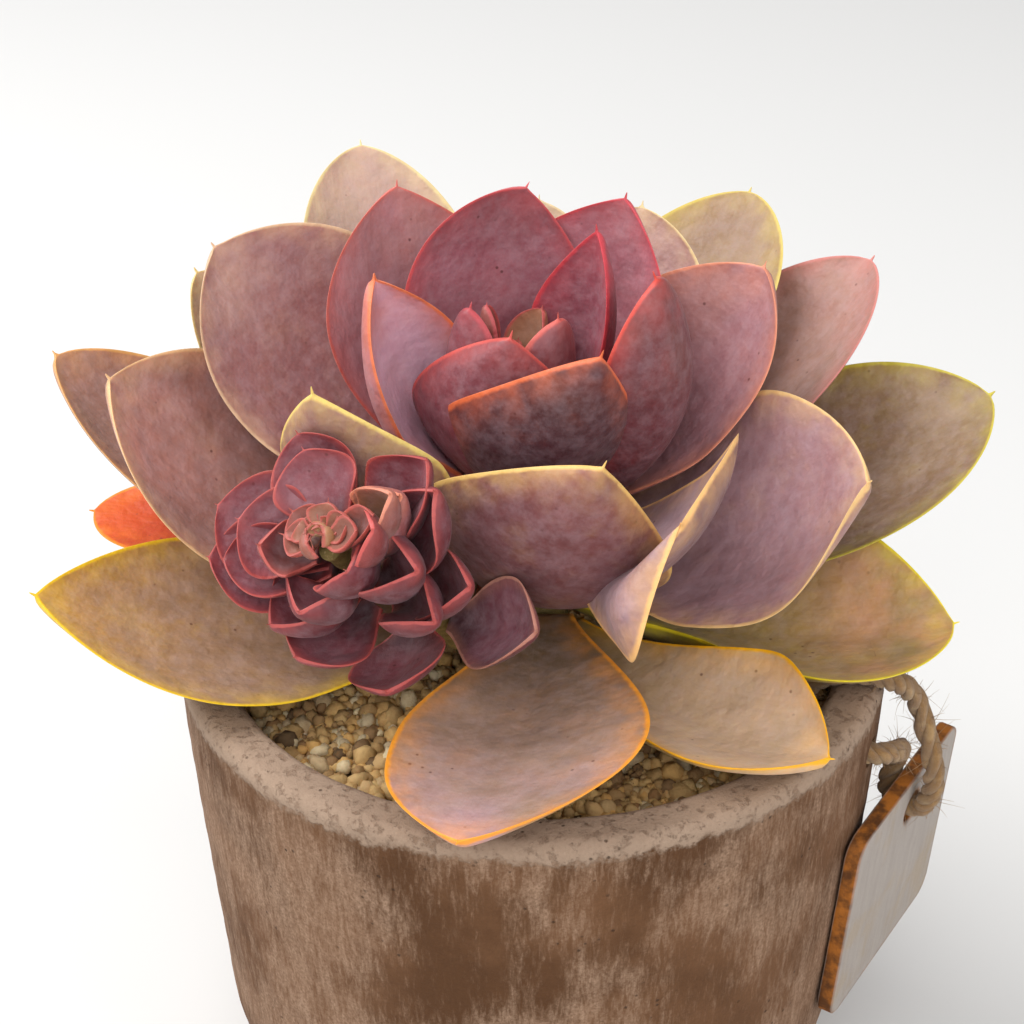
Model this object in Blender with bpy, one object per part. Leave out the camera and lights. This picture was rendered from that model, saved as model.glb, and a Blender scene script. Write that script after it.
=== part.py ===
"""Potted succulent: a rosette with one offset in a round clay pot, with grit and a tag on twine.

Lengths are millimetres until new_object scales them to metres. The origin is the centre of the
pot's foot and +Z is up. The plant is set out from the centre of the pot's mouth.
"""

from math import cos, pi, radians, sin

import bmesh
import bpy
from mathutils import Quaternion, Vector
from mathutils.bvhtree import BVHTree

MM = 0.001
GAP = 0.3  # kept between any two pieces that touch
LEAF_GAP = 0.5  # kept round a leaf that another gives way to

# Pot
RIM_RADIUS = 47.5
POT_HEIGHT = 72.0
POT_WALL = 6.5
POT_FLOOR = 7.0
POT_TAPER = 4.0  # how much narrower the wall is where the rounded base begins
BASE_ROUND = 21.0
LIP_ROUND = 1.8
POT_SIDES = 48

# Filling
GRIT_DROP = 5.0  # rim down to the grit at the wall
GRIT_DOME = 1.5

# Stems, as (x, y, z) from the centre of the pot's mouth
STEM_FOOT = Vector((3.0, -1.0, -30.0))
STEM_CROWN = Vector((-4.0, 5.0, 27.0))
STEM_RADIUS = 5.5
CROWN_RADIUS = 2.4
OFFSET_FOOT = Vector((-6.0, -8.0, 2.0))
OFFSET_CROWN = Vector((-24.5, -30.5, 31.5))
OFFSET_STEM_RADIUS = 2.4
OFFSET_CROWN_RADIUS = 1.4

# Leaves
LEAF_THICKNESS = 3.2
OFFSET_THICKNESS = 1.9
EDGE_THICKNESS = 0.9
LEAF_RINGS = 8
RING_POINTS = 10
SMALL_RINGS = 7
SMALL_RING_POINTS = 8
WIDEST_AT = 0.6
BASE_WIDTH = 0.26

# Tag and twine
TAG_WIDTH = 34.0
TAG_HEIGHT = 31.0
TAG_THICKNESS = 2.2
TAG_CORNER = 3.0
TAG_TURN = -30.0  # the way its face points
TAG_LEAN = 5.0
TAG_DROP = 19.0  # rim down to its top edge
TAG_CLEAR = 0.4  # least room between its back and the wall
TAG_SIDE = 18.0  # how far its middle is to one side of that line
TAG_HOLE_DROP = 5.5
TAG_HOLE_SIDE = 2.0
TWINE_RADIUS = 1.4
TAG_HOLE_RADIUS = TWINE_RADIUS + 1.0
TWINE_HOLE_RADIUS = TWINE_RADIUS + 0.6
TWINE_POCKET = TWINE_RADIUS + 2.6  # clear of grit, where the twine comes through the wall
TWINE_TURN = -20.0  # where it goes through the wall
TWINE_HOLE_DROP = 9.0

# name, way it faces, tip, base height, width, roll, bow, sway, cup
ROSETTE = (
    ("heart_leaf_left", 215, (-8, 0, 48), 25, 11, 0, 3, 0, 40),
    ("heart_leaf_right", -40, (3, 1, 46), 25, 13, 0, 2, 0, 40),
    ("heart_leaf_front", -100, (-3, -6, 47), 23, 22, 0, 5, -2, 45),
    ("heart_leaf_back", 45, (8, 10, 54), 24, 16, 0, 3, -5, 40),
    ("inner_leaf_back_left", 115, (-1, 19, 56), 21, 28, 0, 5, 6, 30),
    ("inner_leaf_back_right", 66, (12, 20, 54), 19, 28, 0, 6, 0, 30),
    ("inner_leaf_right", -30, (15, -2, 53), 19, 27, 0, 16, 5, 35),
    ("inner_leaf_front", -68, (8, -13, 48), 20, 22, 0, 7, 0, 35),
    ("inner_leaf_left", 185, (-20, 2, 51), 20, 21, -45, 6, 0, 45),
    ("inner_leaf_far_left", 130, (-18, 24, 54), 18, 34, 0, 6, 4, 30),
    ("middle_leaf_right", 25, (30, 14, 47), 16, 29, 20, 8, -2, 30),
    ("middle_leaf_left_back", 155, (-42, 20, 47), 15, 36, -20, 6, -3, 30),
    ("middle_leaf_back_left", 116, (-24, 47, 50), 12, 27, 0, 6, 5, 30),
    ("middle_leaf_back", 65, (15, 35, 46), 16, 30, 0, 6, -2, 30),
    ("middle_leaf_rear", 92, (1, 46, 42), 11, 24, 0, 6, 0, 30),
    ("middle_leaf_back_right", 57, (31, 49, 42), 14, 27, 0, 4, -3, 30),
    ("middle_leaf_right_back", 34, (47, 35, 38), 9, 30, -5, 7, -1, 30),
    ("middle_leaf_right_front", -18, (41, -16, 32), 12, 36, 28, 9, 4, 30),
    ("middle_leaf_front_right", -38, (17, -31, 35), 14, 31, 10, 9, 8, 45, 20),
    ("middle_leaf_front", -115, (8, -26, 40), 11, 33, -15, 13, -2, 30),
    ("middle_leaf_front_left", -140, (-27, -15, 44), 13, 24, 30, 12, 0, 35),
    ("middle_leaf_left", 180, (-54, 0, 38), 10, 35, -22, 13, 0, 30),
    ("outer_leaf_left_back", 162, (-64, 18, 32), 5, 31, 0, 11, 4, 30),
    ("outer_leaf_left_front", 193, (-64, -12, 13), 4, 33, -12, 12, 2, 25),
    ("outer_leaf_front", -66, (-5, -54, 6), 4, 32, 6, 2, 5, 20),
    ("outer_leaf_front_right", -50, (36, -35, 4), 2, 33, 6, 3, -8, 30),
    ("outer_leaf_right_front", -8, (55, -8, 6), 5, 36, 12, 4, -8, 30),
    ("outer_leaf_right", 14, (62, 18, 26), 9, 36, 10, 9, -2, 30),
    ("outer_leaf_right_back", 35, (56, 40, 15), 2, 24, 0, 5, 0, 30),
    ("outer_leaf_back_left", 142, (-46, 31, 38), 6, 26, 0, 8, 0, 30),
    ("aged_leaf", 158, (-62, 24, 4), 3, 22, -10, -3, 0, 20),
)

# name, tip, place along the offset stem, width, roll, bow, sway, cup
OFFSET = (
    ("offset_leaf_front_right", (-19, -37, 38), 0.97, 9, 0, 3, 0, 40),
    ("offset_leaf_front_left", (-33, -29, 31), 0.95, 9, 0, 3, 0, 40),
    ("offset_leaf_right_heart", (-17, -34, 41), 0.94, 10, 0, 3, 0, 40),
    ("offset_leaf_back_inner", (-28, -20, 39), 0.95, 12, 0, 3, 0, 35),
    ("offset_leaf_left_inner", (-36, -23, 31), 0.92, 13, 0, 3, 0, 40),
    ("offset_leaf_front", (-22, -38, 33), 0.92, 12, 0, 3, 0, 40),
    ("offset_leaf_right_inner", (-16, -31, 39), 0.88, 13, 0, 3, 0, 40),
    ("offset_leaf_back", (-29, -16, 39), 0.88, 13, 0, 3, 0, 35),
    ("offset_leaf_back_right", (-13, -26, 41), 0.85, 14, 0, 3, 0, 35),
    ("offset_leaf_left_back", (-39, -18, 30), 0.86, 15, 0, 4, 0, 35),
    ("offset_leaf_left", (-38, -24, 26), 0.86, 13, 0, 3, 0, 40),
    ("offset_leaf_front_lower", (-28, -36, 26), 0.84, 14, 0, 3, 0, 40),
    ("offset_leaf_right_back", (-12, -30, 39), 0.76, 15, 20, 5, 0, 40),
    ("offset_leaf_fold_right", (-14, -38, 33), 0.8, 15, 0, 3, 0, 45),
    ("offset_leaf_left_outer", (-40, -22, 25), 0.78, 15, 0, 4, 0, 35),
    ("offset_leaf_front_outer", (-32, -31, 21), 0.76, 15, 0, 3, 0, 35),
    ("offset_leaf_front_lowest", (-29, -32, 17), 0.66, 14, 0, 3, 0, 30),
    ("offset_leaf_fold_lower", (-12, -38, 26), 0.66, 14, 0, 3, 0, 45),
    ("offset_leaf_lower_right", (-8, -35, 29), 0.6, 12, 0, 3, 0, 40),
    ("offset_leaf_lowest", (-18, -35, 14), 0.5, 14, 0, 3, 0, 30),
    ("offset_leaf_lowest_right", (0, -31, 20), 0.36, 14, 0, 3, 0, 30),
)

# tip, width, bow, cup of the smallest leaves, which are grown together at the heart
ROSETTE_HEART = (((-6, 5, 46), 7, 1, 60), ((1, 8, 44), 9, 1, 50), ((-4, 4, 41), 6, 0, 60))
OFFSET_HEART = (
    ((-18, -35, 41), 8, 2, 40),
    ((-20, -36, 39), 7, 1, 40),
    ((-30, -26, 36), 10, 2, 40),
    ((-29, -27, 35), 7, 1, 40),
    ((-32, -27, 33), 8, 2, 40),
    ((-28, -33, 34), 7, 1, 40),
)


def clear_scene():
    for obj in list(bpy.data.objects):
        bpy.data.objects.remove(obj, do_unlink=True)


def material(name, colour, roughness):
    made = bpy.data.materials.new(name)
    made.use_nodes = True
    shader = made.node_tree.nodes["Principled BSDF"]
    shader.inputs["Base Color"].default_value = (*colour, 1.0)
    shader.inputs["Roughness"].default_value = roughness
    shader.inputs["Metallic"].default_value = 0.0
    return made


def new_object(name, points, faces, finish=None):
    """A closed mesh, facing out. Without a finish it is a cutter, which no render shows."""
    mesh = bpy.data.meshes.new(name)
    mesh.from_pydata([Vector(p) * MM for p in points], [], faces)
    body = bmesh.new()
    body.from_mesh(mesh)
    bmesh.ops.recalc_face_normals(body, faces=body.faces)
    body.to_mesh(mesh)
    body.free()
    mesh.shade_smooth()
    obj = bpy.data.objects.new(name, mesh)
    bpy.context.scene.collection.objects.link(obj)
    if finish:
        mesh.materials.append(finish)
    else:
        obj.hide_render = True
        obj.display_type = "WIRE"
    return obj


def meets(a, b):
    trees = []
    for obj in (a, b):
        body = bmesh.new()
        body.from_mesh(obj.data)
        trees.append(BVHTree.FromBMesh(body))
        body.free()
    return bool(trees[0].overlap(trees[1]))


def combine(obj, others, operation):
    """Applies one Boolean per object, then keeps the largest of the bodies that are left."""
    for other in others:
        step = obj.modifiers.new(operation, "BOOLEAN")
        step.operation = operation
        step.solver = "EXACT"
        step.object = other
    graph = bpy.context.evaluated_depsgraph_get()
    mesh = bpy.data.meshes.new_from_object(obj.evaluated_get(graph))
    obj.modifiers.clear()
    obj.data = mesh
    body = bmesh.new()
    body.from_mesh(mesh)
    bmesh.ops.remove_doubles(body, verts=body.verts, dist=0.005 * MM)
    bmesh.ops.dissolve_degenerate(body, edges=body.edges, dist=0.005 * MM)
    keep_largest(body)
    body.to_mesh(mesh)
    body.free()


def keep_largest(body):
    groups = []
    unseen = set(body.verts)
    while unseen:
        group = {unseen.pop()}
        edge = list(group)
        while edge:
            found = [e.other_vert(v) for v in edge for e in v.link_edges]
            edge = list({v for v in found if v not in group})
            group.update(edge)
        unseen -= group
        groups.append(group)
    groups.sort(key=len)
    for group in groups[:-1]:
        bmesh.ops.delete(body, geom=list(group), context="VERTS")


def loft(rings, start, end):
    """Closed skin through equal rings of points, with a point at each end."""
    count = len(rings[0])
    points = [start, *[p for ring in rings for p in ring], end]
    last = len(points) - 1
    faces = [(0, 1 + (i + 1) % count, 1 + i) for i in range(count)]
    for k in range(len(rings) - 1):
        low, high = 1 + k * count, 1 + (k + 1) * count
        faces += [
            (low + i, low + (i + 1) % count, high + (i + 1) % count, high + i)
            for i in range(count)
        ]
    tail = last - count
    faces += [(last, tail + i, tail + (i + 1) % count) for i in range(count)]
    return points, faces


def circle(centre, along, radius, count):
    across = along.orthogonal().normalized()
    return [
        centre + Quaternion(along, 2 * pi * i / count) @ across * radius
        for i in range(count)
    ]


def tube(path, radii, count):
    """Rings about the points of a path, closed by a flat face at each end."""
    rings = []
    for k, centre in enumerate(path):
        along = (path[min(k + 1, len(path) - 1)] - path[max(k - 1, 0)]).normalized()
        rings.append(circle(centre, along, radii[k], count))
    return loft(rings, path[0], path[-1])


def smooth(t):
    t = min(1.0, max(0.0, t))
    return t * t * (3 - 2 * t)


def leaf_outline(u):
    """Half width at u along the leaf, as a share of the widest half width."""
    if u < WIDEST_AT:
        return BASE_WIDTH + (1 - BASE_WIDTH) * sin(pi / 2 * u / WIDEST_AT) ** 1.3
    t = (u - WIDEST_AT) / (1 - WIDEST_AT)
    return (1 - t**2.2) ** 0.62


def leaf_shell(base, tip, side, width, roll, bow, sway, cup, reach, thickness, grow):
    """A fleshy leaf along a curved midrib, hollow above and full below, larger all round by grow."""
    small = thickness < LEAF_THICKNESS
    steps = SMALL_RINGS if small else LEAF_RINGS
    count = SMALL_RING_POINTS if small else RING_POINTS
    chord = (tip - base).normalized()
    side = (side - chord * side.dot(chord)).normalized()
    face = chord.cross(side)
    bend = (base + tip) / 2 - face * bow + side * sway + chord * reach
    rings = []
    for k in range(steps):
        u = 1 - (1 - k / steps) ** 1.25
        centre = base * (1 - u) ** 2 + bend * 2 * u * (1 - u) + tip * u * u
        along = ((bend - base) * (1 - u) + (tip - bend) * u).normalized()
        across = (side - along * side.dot(along)).normalized()
        across = Quaternion(along, radians(roll) * smooth(u / 0.5)) @ across
        upward = along.cross(across)
        half = width / 2 * leaf_outline(u)
        arc = radians(cup) * (0.6 + 0.4 * smooth(u / 0.4))
        plump = thickness * (0.75 + 0.25 * smooth(u / 0.3)) * (1 - 0.65 * smooth((u - 0.3) / 0.7))
        edge = EDGE_THICKNESS / 2 * (1 - 0.4 * u) + grow
        if k == 0:
            centre = centre - along * grow
        ring = []
        for i in range(count):
            a = 2 * pi * i / count
            v = cos(a)
            bent = v * arc
            thick = edge * sin(a) - (plump * (1 - v * v) if sin(a) < 0 else 0)
            spread = half / arc * sin(bent) + grow * v * cos(bent) - thick * sin(bent)
            lift = half / arc * (1 - cos(bent)) + grow * v * sin(bent) + thick * cos(bent)
            ring.append(centre + across * spread + upward * lift)
        rings.append(ring)
    start = sum(rings[0], Vector()) / count
    return loft(rings, start, tip + (tip - bend).normalized() * grow)


def stem_point(z):
    return STEM_FOOT.lerp(STEM_CROWN, (z - STEM_FOOT.z) / (STEM_CROWN.z - STEM_FOOT.z))


def stem_radius(z):
    return STEM_RADIUS + (CROWN_RADIUS - STEM_RADIUS) * smooth(z / STEM_CROWN.z)


def rosette_leaves():
    """Name, shape and thickness of each leaf of the rosette, from its table."""
    for name, facing, tip, height, width, roll, bow, sway, cup, *reach in ROSETTE:
        out = Vector((cos(radians(facing)), sin(radians(facing)), 0))
        side = Vector((-out.y, out.x, 0))
        base = stem_point(height) + out * (stem_radius(height) + 1.2)
        turn = (width, roll, bow, sway, cup, reach[0] if reach else 0)
        yield name, (base, Vector(tip), side, *turn), LEAF_THICKNESS


def offset_leaves():
    """The same for the offset, whose leaves stand about its own slanting stem."""
    axis = (OFFSET_CROWN - OFFSET_FOOT).normalized()
    for name, tip, place, width, roll, bow, sway, cup in OFFSET:
        root = OFFSET_FOOT.lerp(OFFSET_CROWN, place)
        away = Vector(tip) - root
        out = (away - axis * away.dot(axis)).normalized()
        base = root + out * (OFFSET_STEM_RADIUS + 0.3)
        turn = (width, roll, bow, sway, cup, 0)
        yield name, (base, Vector(tip), axis.cross(out), *turn), OFFSET_THICKNESS


def stem(name, foot, crown, radius, crown_radius, finish=None, grow=0):
    """A stem that narrows to its crown, larger all round by grow."""
    steps = 8
    along = (crown - foot).normalized() * grow
    path = [(foot - along).lerp(crown + along, i / steps) + MOUTH for i in range(steps + 1)]
    radii = [
        grow + radius + (crown_radius - radius) * smooth(max(0, p.z - MOUTH.z) / crown.z)
        for p in path
    ]
    return new_object(name, *tube(path, radii, 20), finish)


def heart(name, crown, axis, rows, radius, thickness, finish):
    """The smallest leaves, joined at a bud above the crown."""
    middle = crown + axis * (radius + GAP)
    path = [middle + axis * (radius * -cos(pi * i / 8)) + MOUTH for i in range(1, 8)]
    radii = [radius * sin(pi * i / 8) for i in range(1, 8)]
    bud = new_object(name, *tube(path, radii, 12), finish)
    leaves = []
    for i, (tip, width, bow, cup) in enumerate(rows):
        tip = Vector(tip)
        away = tip - middle
        out = away - axis * away.dot(axis)
        out = out.normalized() if out.length > 1 else axis.orthogonal().normalized()
        base = middle + out * radius * 0.3
        shape = (base + MOUTH, tip + MOUTH, axis.cross(out), width, 0, bow, 0, cup, 0)
        leaves.append(new_object(f"{name}_leaf_{i}", *leaf_shell(*shape, thickness, 0)))
    combine(bud, leaves, "UNION")
    return bud


def turned(name, profile, finish=None):
    """The profile, as (radius, height) from axis to axis, turned about Z."""
    points = []
    faces = []
    starts = []
    for r, z in profile:
        starts.append(len(points))
        if r == 0:
            points.append((0, 0, z))
            continue
        for i in range(POT_SIDES):
            a = 2 * pi * i / POT_SIDES
            points.append((r * cos(a), r * sin(a), z))
    for k in range(len(profile) - 1):
        low, high = starts[k], starts[k + 1]
        for i in range(POT_SIDES):
            j = (i + 1) % POT_SIDES
            if profile[k][0] == 0:
                faces.append((low, high + i, high + j))
            elif profile[k + 1][0] == 0:
                faces.append((low + i, high, low + j))
            else:
                faces.append((low + i, low + j, high + j, high + i))
    return new_object(name, points, faces, finish)


def arc(centre, radius, first, last, steps):
    """Points (radius, height) of an arc, between two angles in degrees."""
    return [
        (
            centre[0] + radius * cos(radians(first + (last - first) * i / steps)),
            centre[1] + radius * sin(radians(first + (last - first) * i / steps)),
        )
        for i in range(steps + 1)
    ]


def outer_radius(z):
    """The pot's outside at a height above its foot: a wall that narrows faster the lower it is."""
    down = (POT_HEIGHT - LIP_ROUND - z) / (POT_HEIGHT - LIP_ROUND - BASE_ROUND)
    return RIM_RADIUS - POT_TAPER * down**1.3


def inner_radius(z):
    return outer_radius(z) - POT_WALL


def pot_profile(grow=0):
    """Half section of the pot from its foot over the lip to the inside of its floor, larger all round by grow."""
    low = outer_radius(BASE_ROUND)
    outside = arc((low - BASE_ROUND, BASE_ROUND), BASE_ROUND + grow, -90, 0, 8)
    wall_top = POT_HEIGHT - LIP_ROUND
    wall = [BASE_ROUND + (wall_top - BASE_ROUND) * i / 4 for i in range(1, 4)]
    outside += [(outer_radius(z) + grow, z) for z in wall]
    outside += arc((RIM_RADIUS - LIP_ROUND, wall_top), LIP_ROUND + grow, 0, 90, 4)
    mouth = RIM_RADIUS - POT_WALL
    inside = arc((mouth + LIP_ROUND, wall_top), LIP_ROUND + grow, 90, 180, 4)
    inside += [(inner_radius(z) - grow, z) for z in reversed(wall)]
    bowl = BASE_ROUND - POT_FLOOR
    inside += arc((inner_radius(BASE_ROUND) - bowl, BASE_ROUND), bowl - grow, 0, -90, 6)
    return [(0, -grow), *outside, *inside, (0, POT_FLOOR + grow)]


def grit_profile(grow=0):
    """Half section of the grit, which fills the pot to a low dome, higher by grow."""
    top = POT_HEIGHT - GRIT_DROP
    bowl = BASE_ROUND - POT_FLOOR - GAP
    low = inner_radius(BASE_ROUND) - GAP - bowl
    bottom = arc((low, BASE_ROUND), bowl, -90, 0, 6)
    wall = [BASE_ROUND + (top - BASE_ROUND) * i / 4 for i in range(1, 4)]
    side = [(inner_radius(z) - GAP, z) for z in wall] + [(inner_radius(top) - GAP, top + grow)]
    edge = side[-1][0]
    dome = [(edge * (1 - i / 5), top + GRIT_DOME * smooth(i / 3) + grow) for i in range(1, 5)]
    return [(0, bottom[0][1]), *bottom, *side, *dome, (0, top + GRIT_DOME + grow)]


def rod(name, start, end, radius, finish=None):
    return new_object(name, *tube([start, end], [radius, radius], 24), finish)


def tag_frame():
    """A point on the tag's back, at the middle of its top edge, and its three directions."""
    face = Vector((cos(radians(TAG_TURN)), sin(radians(TAG_TURN)), 0))
    side = Vector((-face.y, face.x, 0))
    up = Quaternion(side, radians(TAG_LEAN)) @ Vector((0, 0, 1))
    drops = [TAG_HEIGHT * i / 10 for i in range(11)]
    wall = max(outer_radius(POT_HEIGHT - TAG_DROP - d) + d * sin(radians(TAG_LEAN)) for d in drops)
    top = face * (wall + TAG_CLEAR) + side * TAG_SIDE + Vector((0, 0, POT_HEIGHT - TAG_DROP))
    return top, side, up, side.cross(up)


def tag_hole():
    top, side, up, face = tag_frame()
    return top + side * TAG_HOLE_SIDE - up * TAG_HOLE_DROP + face * TAG_THICKNESS / 2


def make_tag(finish):
    top, side, up, face = tag_frame()
    outline = []
    half = TAG_WIDTH / 2 - TAG_CORNER
    for x, y, first in (
        (half, -TAG_CORNER, 0),
        (-half, -TAG_CORNER, 90),
        (-half, TAG_CORNER - TAG_HEIGHT, 180),
        (half, TAG_CORNER - TAG_HEIGHT, 270),
    ):
        outline += arc((x, y), TAG_CORNER, first, first + 90, 6)
    rings = [
        [top + side * x + up * y + face * depth for x, y in outline]
        for depth in (0, TAG_THICKNESS)
    ]
    middle = top - up * TAG_HEIGHT / 2
    points, faces = loft(rings, middle, middle + face * TAG_THICKNESS)
    tag = new_object("tag", points, faces, finish)
    centre = tag_hole()
    cutter = rod("tag_hole", centre - face * 5, centre + face * 5, TAG_HOLE_RADIUS)
    combine(tag, [cutter], "DIFFERENCE")
    return tag


def about(turn, radius, z):
    return Vector((radius * cos(radians(turn)), radius * sin(radians(turn)), POT_HEIGHT + z))


def twine_route():
    """Out through the wall, through the tag from behind, up in front of it and back over the rim."""
    top, side, up, face = tag_frame()
    hole = tag_hole()
    inside = RIM_RADIUS - POT_WALL - TWINE_RADIUS - 1
    outside = RIM_RADIUS + TWINE_RADIUS
    rest = TAG_THICKNESS / 2 + TWINE_RADIUS + GAP  # the tag's middle to twine that lies on it
    return [
        about(TWINE_TURN, inside, -TWINE_HOLE_DROP + 1.5),
        about(TWINE_TURN, inside + 3, -TWINE_HOLE_DROP),
        about(TWINE_TURN, RIM_RADIUS, -TWINE_HOLE_DROP),
        about(TWINE_TURN + 5, outside + 1.2, -TWINE_HOLE_DROP - 2),
        hole - face * (rest - 0.6) + up * 8,
        hole - face * rest + up * 2,
        hole,
        hole + face * rest + up * 1.5,
        hole + face * (rest + 0.6) + up * 8 - side * 1,
        about(TWINE_TURN + 10, outside + 3.1, -6),
        about(TWINE_TURN + 4, outside + 0.2, TWINE_RADIUS - 0.8),
        about(TWINE_TURN + 2, RIM_RADIUS - POT_WALL / 2, TWINE_RADIUS + 0.6),
        about(TWINE_TURN + 1, inside + 0.2, 0.2),
        about(TWINE_TURN, inside - 0.6, -4),
    ]


def closed_curve(corners, steps):
    """A smooth closed path through the corners."""
    path = []
    count = len(corners)
    for i in range(count):
        a, b, c, d = (corners[(i + k) % count] for k in (-1, 0, 1, 2))
        for j in range(steps):
            t = j / steps
            path.append(
                (
                    b * 2
                    + (c - a) * t
                    + (a * 2 - b * 5 + c * 4 - d) * t**2
                    + (b * 3 - a - c * 3 + d) * t**3
                )
                / 2
            )
    return path


def loop_tube(name, path, radius, sides, finish=None):
    """A closed tube, whose rings are carried along the path without twisting."""
    count = len(path)
    points = []
    across = None
    for k, centre in enumerate(path):
        along = (path[(k + 1) % count] - path[k - 1]).normalized()
        across = along.orthogonal() if across is None else across
        across = (across - along * across.dot(along)).normalized()
        for i in range(sides):
            points.append(centre + Quaternion(along, 2 * pi * i / sides) @ across * radius)
    start = points[: sides]
    shift = min(range(sides), key=lambda i: (points[-sides] - start[i]).length)
    faces = []
    for k in range(count):
        low, high = k * sides, (k + 1) % count * sides
        slip = shift if k == count - 1 else 0
        for i in range(sides):
            j = (i + 1) % sides
            faces.append((low + i, low + j, high + (j + slip) % sides, high + (i + slip) % sides))
    return new_object(name, points, faces, finish)


MOUTH = Vector((0, 0, POT_HEIGHT))
clear_scene()
CLAY = material("clay", (0.3, 0.2, 0.14), 0.9)
GRIT = material("grit", (0.4, 0.3, 0.2), 0.9)
STEM = material("stem", (0.25, 0.2, 0.12), 0.7)
BLADES = {
    "heart": material("inner_leaf", (0.32, 0.09, 0.11), 0.5),
    "inner": material("inner_leaf", (0.32, 0.09, 0.11), 0.5),
    "middle": material("middle_leaf", (0.35, 0.19, 0.18), 0.5),
    "outer": material("outer_leaf", (0.36, 0.29, 0.16), 0.5),
    "offset": material("offset_leaf", (0.28, 0.08, 0.09), 0.45),
    "aged": material("aged_leaf", (0.8, 0.2, 0.02), 0.5),
}
WOOD = material("wood", (0.3, 0.3, 0.3), 0.8)
JUTE = material("jute", (0.5, 0.38, 0.24), 0.95)

pot = turned("pot", pot_profile(), CLAY)
wall = rod(
    "wall_hole",
    about(TWINE_TURN, RIM_RADIUS - POT_WALL - 4, -TWINE_HOLE_DROP),
    about(TWINE_TURN, RIM_RADIUS + 4, -TWINE_HOLE_DROP),
    TWINE_HOLE_RADIUS,
)
combine(pot, [wall], "DIFFERENCE")
make_tag(WOOD)
route = closed_curve(twine_route(), 4)
loop_tube("twine", route, TWINE_RADIUS, 9, JUTE)
twine_room = loop_tube("twine_room", route, TWINE_RADIUS + GAP, 9)

main_stem = stem("main_stem", STEM_FOOT, STEM_CROWN, STEM_RADIUS, CROWN_RADIUS, STEM)
main_room = stem("main_room", STEM_FOOT, STEM_CROWN, STEM_RADIUS, CROWN_RADIUS, grow=GAP)
offset_size = (OFFSET_FOOT, OFFSET_CROWN, OFFSET_STEM_RADIUS, OFFSET_CROWN_RADIUS)
offset_stem = stem("offset_stem", *offset_size, STEM)
offset_room = stem("offset_room", *offset_size, grow=GAP)
combine(offset_stem, [main_room], "DIFFERENCE")

grit = turned("grit", grit_profile(), GRIT)
pocket = rod(
    "twine_pocket",
    about(TWINE_TURN, RIM_RADIUS - POT_WALL - TWINE_POCKET / 2 - 1, -TWINE_HOLE_DROP - TWINE_POCKET),
    about(TWINE_TURN, RIM_RADIUS - POT_WALL - TWINE_POCKET / 2 - 1, 0),
    TWINE_POCKET,
)
combine(grit, [main_room, offset_room, pocket], "DIFFERENCE")

up = Vector((0, 0, 1))
slant = (OFFSET_CROWN - OFFSET_FOOT).normalized()
hearts = [
    heart("rosette_heart", STEM_CROWN, up, ROSETTE_HEART, 2.8, 2.0, BLADES["heart"]),
    heart("offset_heart", OFFSET_CROWN, slant, OFFSET_HEART, 2.4, 1.5, BLADES["offset"]),
]

pot_room = turned("pot_room", pot_profile(GAP))
grit_room = turned("grit_room", grit_profile(GAP))
rooms = [main_room, offset_room, twine_room, pot_room, grit_room]
for rows in (rosette_leaves(), offset_leaves()):
    for name, (base, tip, *shape), thickness in rows:
        shape = (base + MOUTH, tip + MOUTH, *shape)
        finish = BLADES[name.split("_")[0]]
        made = new_object(name, *leaf_shell(*shape, thickness, 0), finish)
        met = [room for room in rooms if meets(made, room)]
        if met:
            combine(made, met, "DIFFERENCE")
        rooms.append(new_object(f"{name}_room", *leaf_shell(*shape, thickness, LEAF_GAP)))
for bud in hearts:
    met = [room for room in rooms if meets(bud, room)]
    if met:
        combine(bud, met, "DIFFERENCE")
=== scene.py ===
"""Looks of a potted succulent: fleshy leaves, a washed clay pot, grit and a tag on jute twine.

Shapes are worked out in millimetres and turned to metres when a mesh is made. The plant is set
out from the centre of the pot's mouth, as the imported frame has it.
"""

import bpy
import numpy as np
from bpy.props import FloatProperty, FloatVectorProperty, IntProperty, PointerProperty

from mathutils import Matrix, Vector


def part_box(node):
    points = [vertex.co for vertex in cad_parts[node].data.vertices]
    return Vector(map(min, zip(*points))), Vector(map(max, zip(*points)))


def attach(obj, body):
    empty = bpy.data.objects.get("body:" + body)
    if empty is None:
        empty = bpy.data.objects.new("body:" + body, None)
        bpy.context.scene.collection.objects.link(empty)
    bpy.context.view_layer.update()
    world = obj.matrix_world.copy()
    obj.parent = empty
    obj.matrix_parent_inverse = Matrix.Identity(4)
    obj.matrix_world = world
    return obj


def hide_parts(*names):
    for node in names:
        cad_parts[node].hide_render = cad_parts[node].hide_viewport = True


bl_info = {
    "name": "Potted succulent",
    "version": (1, 0, 0),
    "blender": (4, 5, 0),
    "location": "View3D > Sidebar > Succulent",
    "description": "Leaves, pot, grit, tag and twine of a potted succulent",
    "category": "Add Mesh",
}

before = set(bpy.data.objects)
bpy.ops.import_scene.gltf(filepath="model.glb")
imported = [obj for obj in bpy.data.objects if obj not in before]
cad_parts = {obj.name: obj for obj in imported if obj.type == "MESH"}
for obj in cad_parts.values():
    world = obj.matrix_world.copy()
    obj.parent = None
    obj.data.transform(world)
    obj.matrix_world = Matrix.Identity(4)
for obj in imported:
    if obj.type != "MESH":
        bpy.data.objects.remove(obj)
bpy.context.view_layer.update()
MM = 0.001
GAP = 0.3
UP = np.array([0.0, 0.0, 1.0])

# Pot, read from the frame where the frame has it
POT_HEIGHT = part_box("pot")[1].z / MM
RIM_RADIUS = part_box("pot")[1].x / MM
POT_WALL = 6.5
POT_FLOOR = 7.0
POT_TAPER = 4.0
BASE_ROUND = 21.0
LIP_ROUND = 1.8
GRIT_DROP = 5.0
MOUTH = np.array([0.0, 0.0, POT_HEIGHT])

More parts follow.
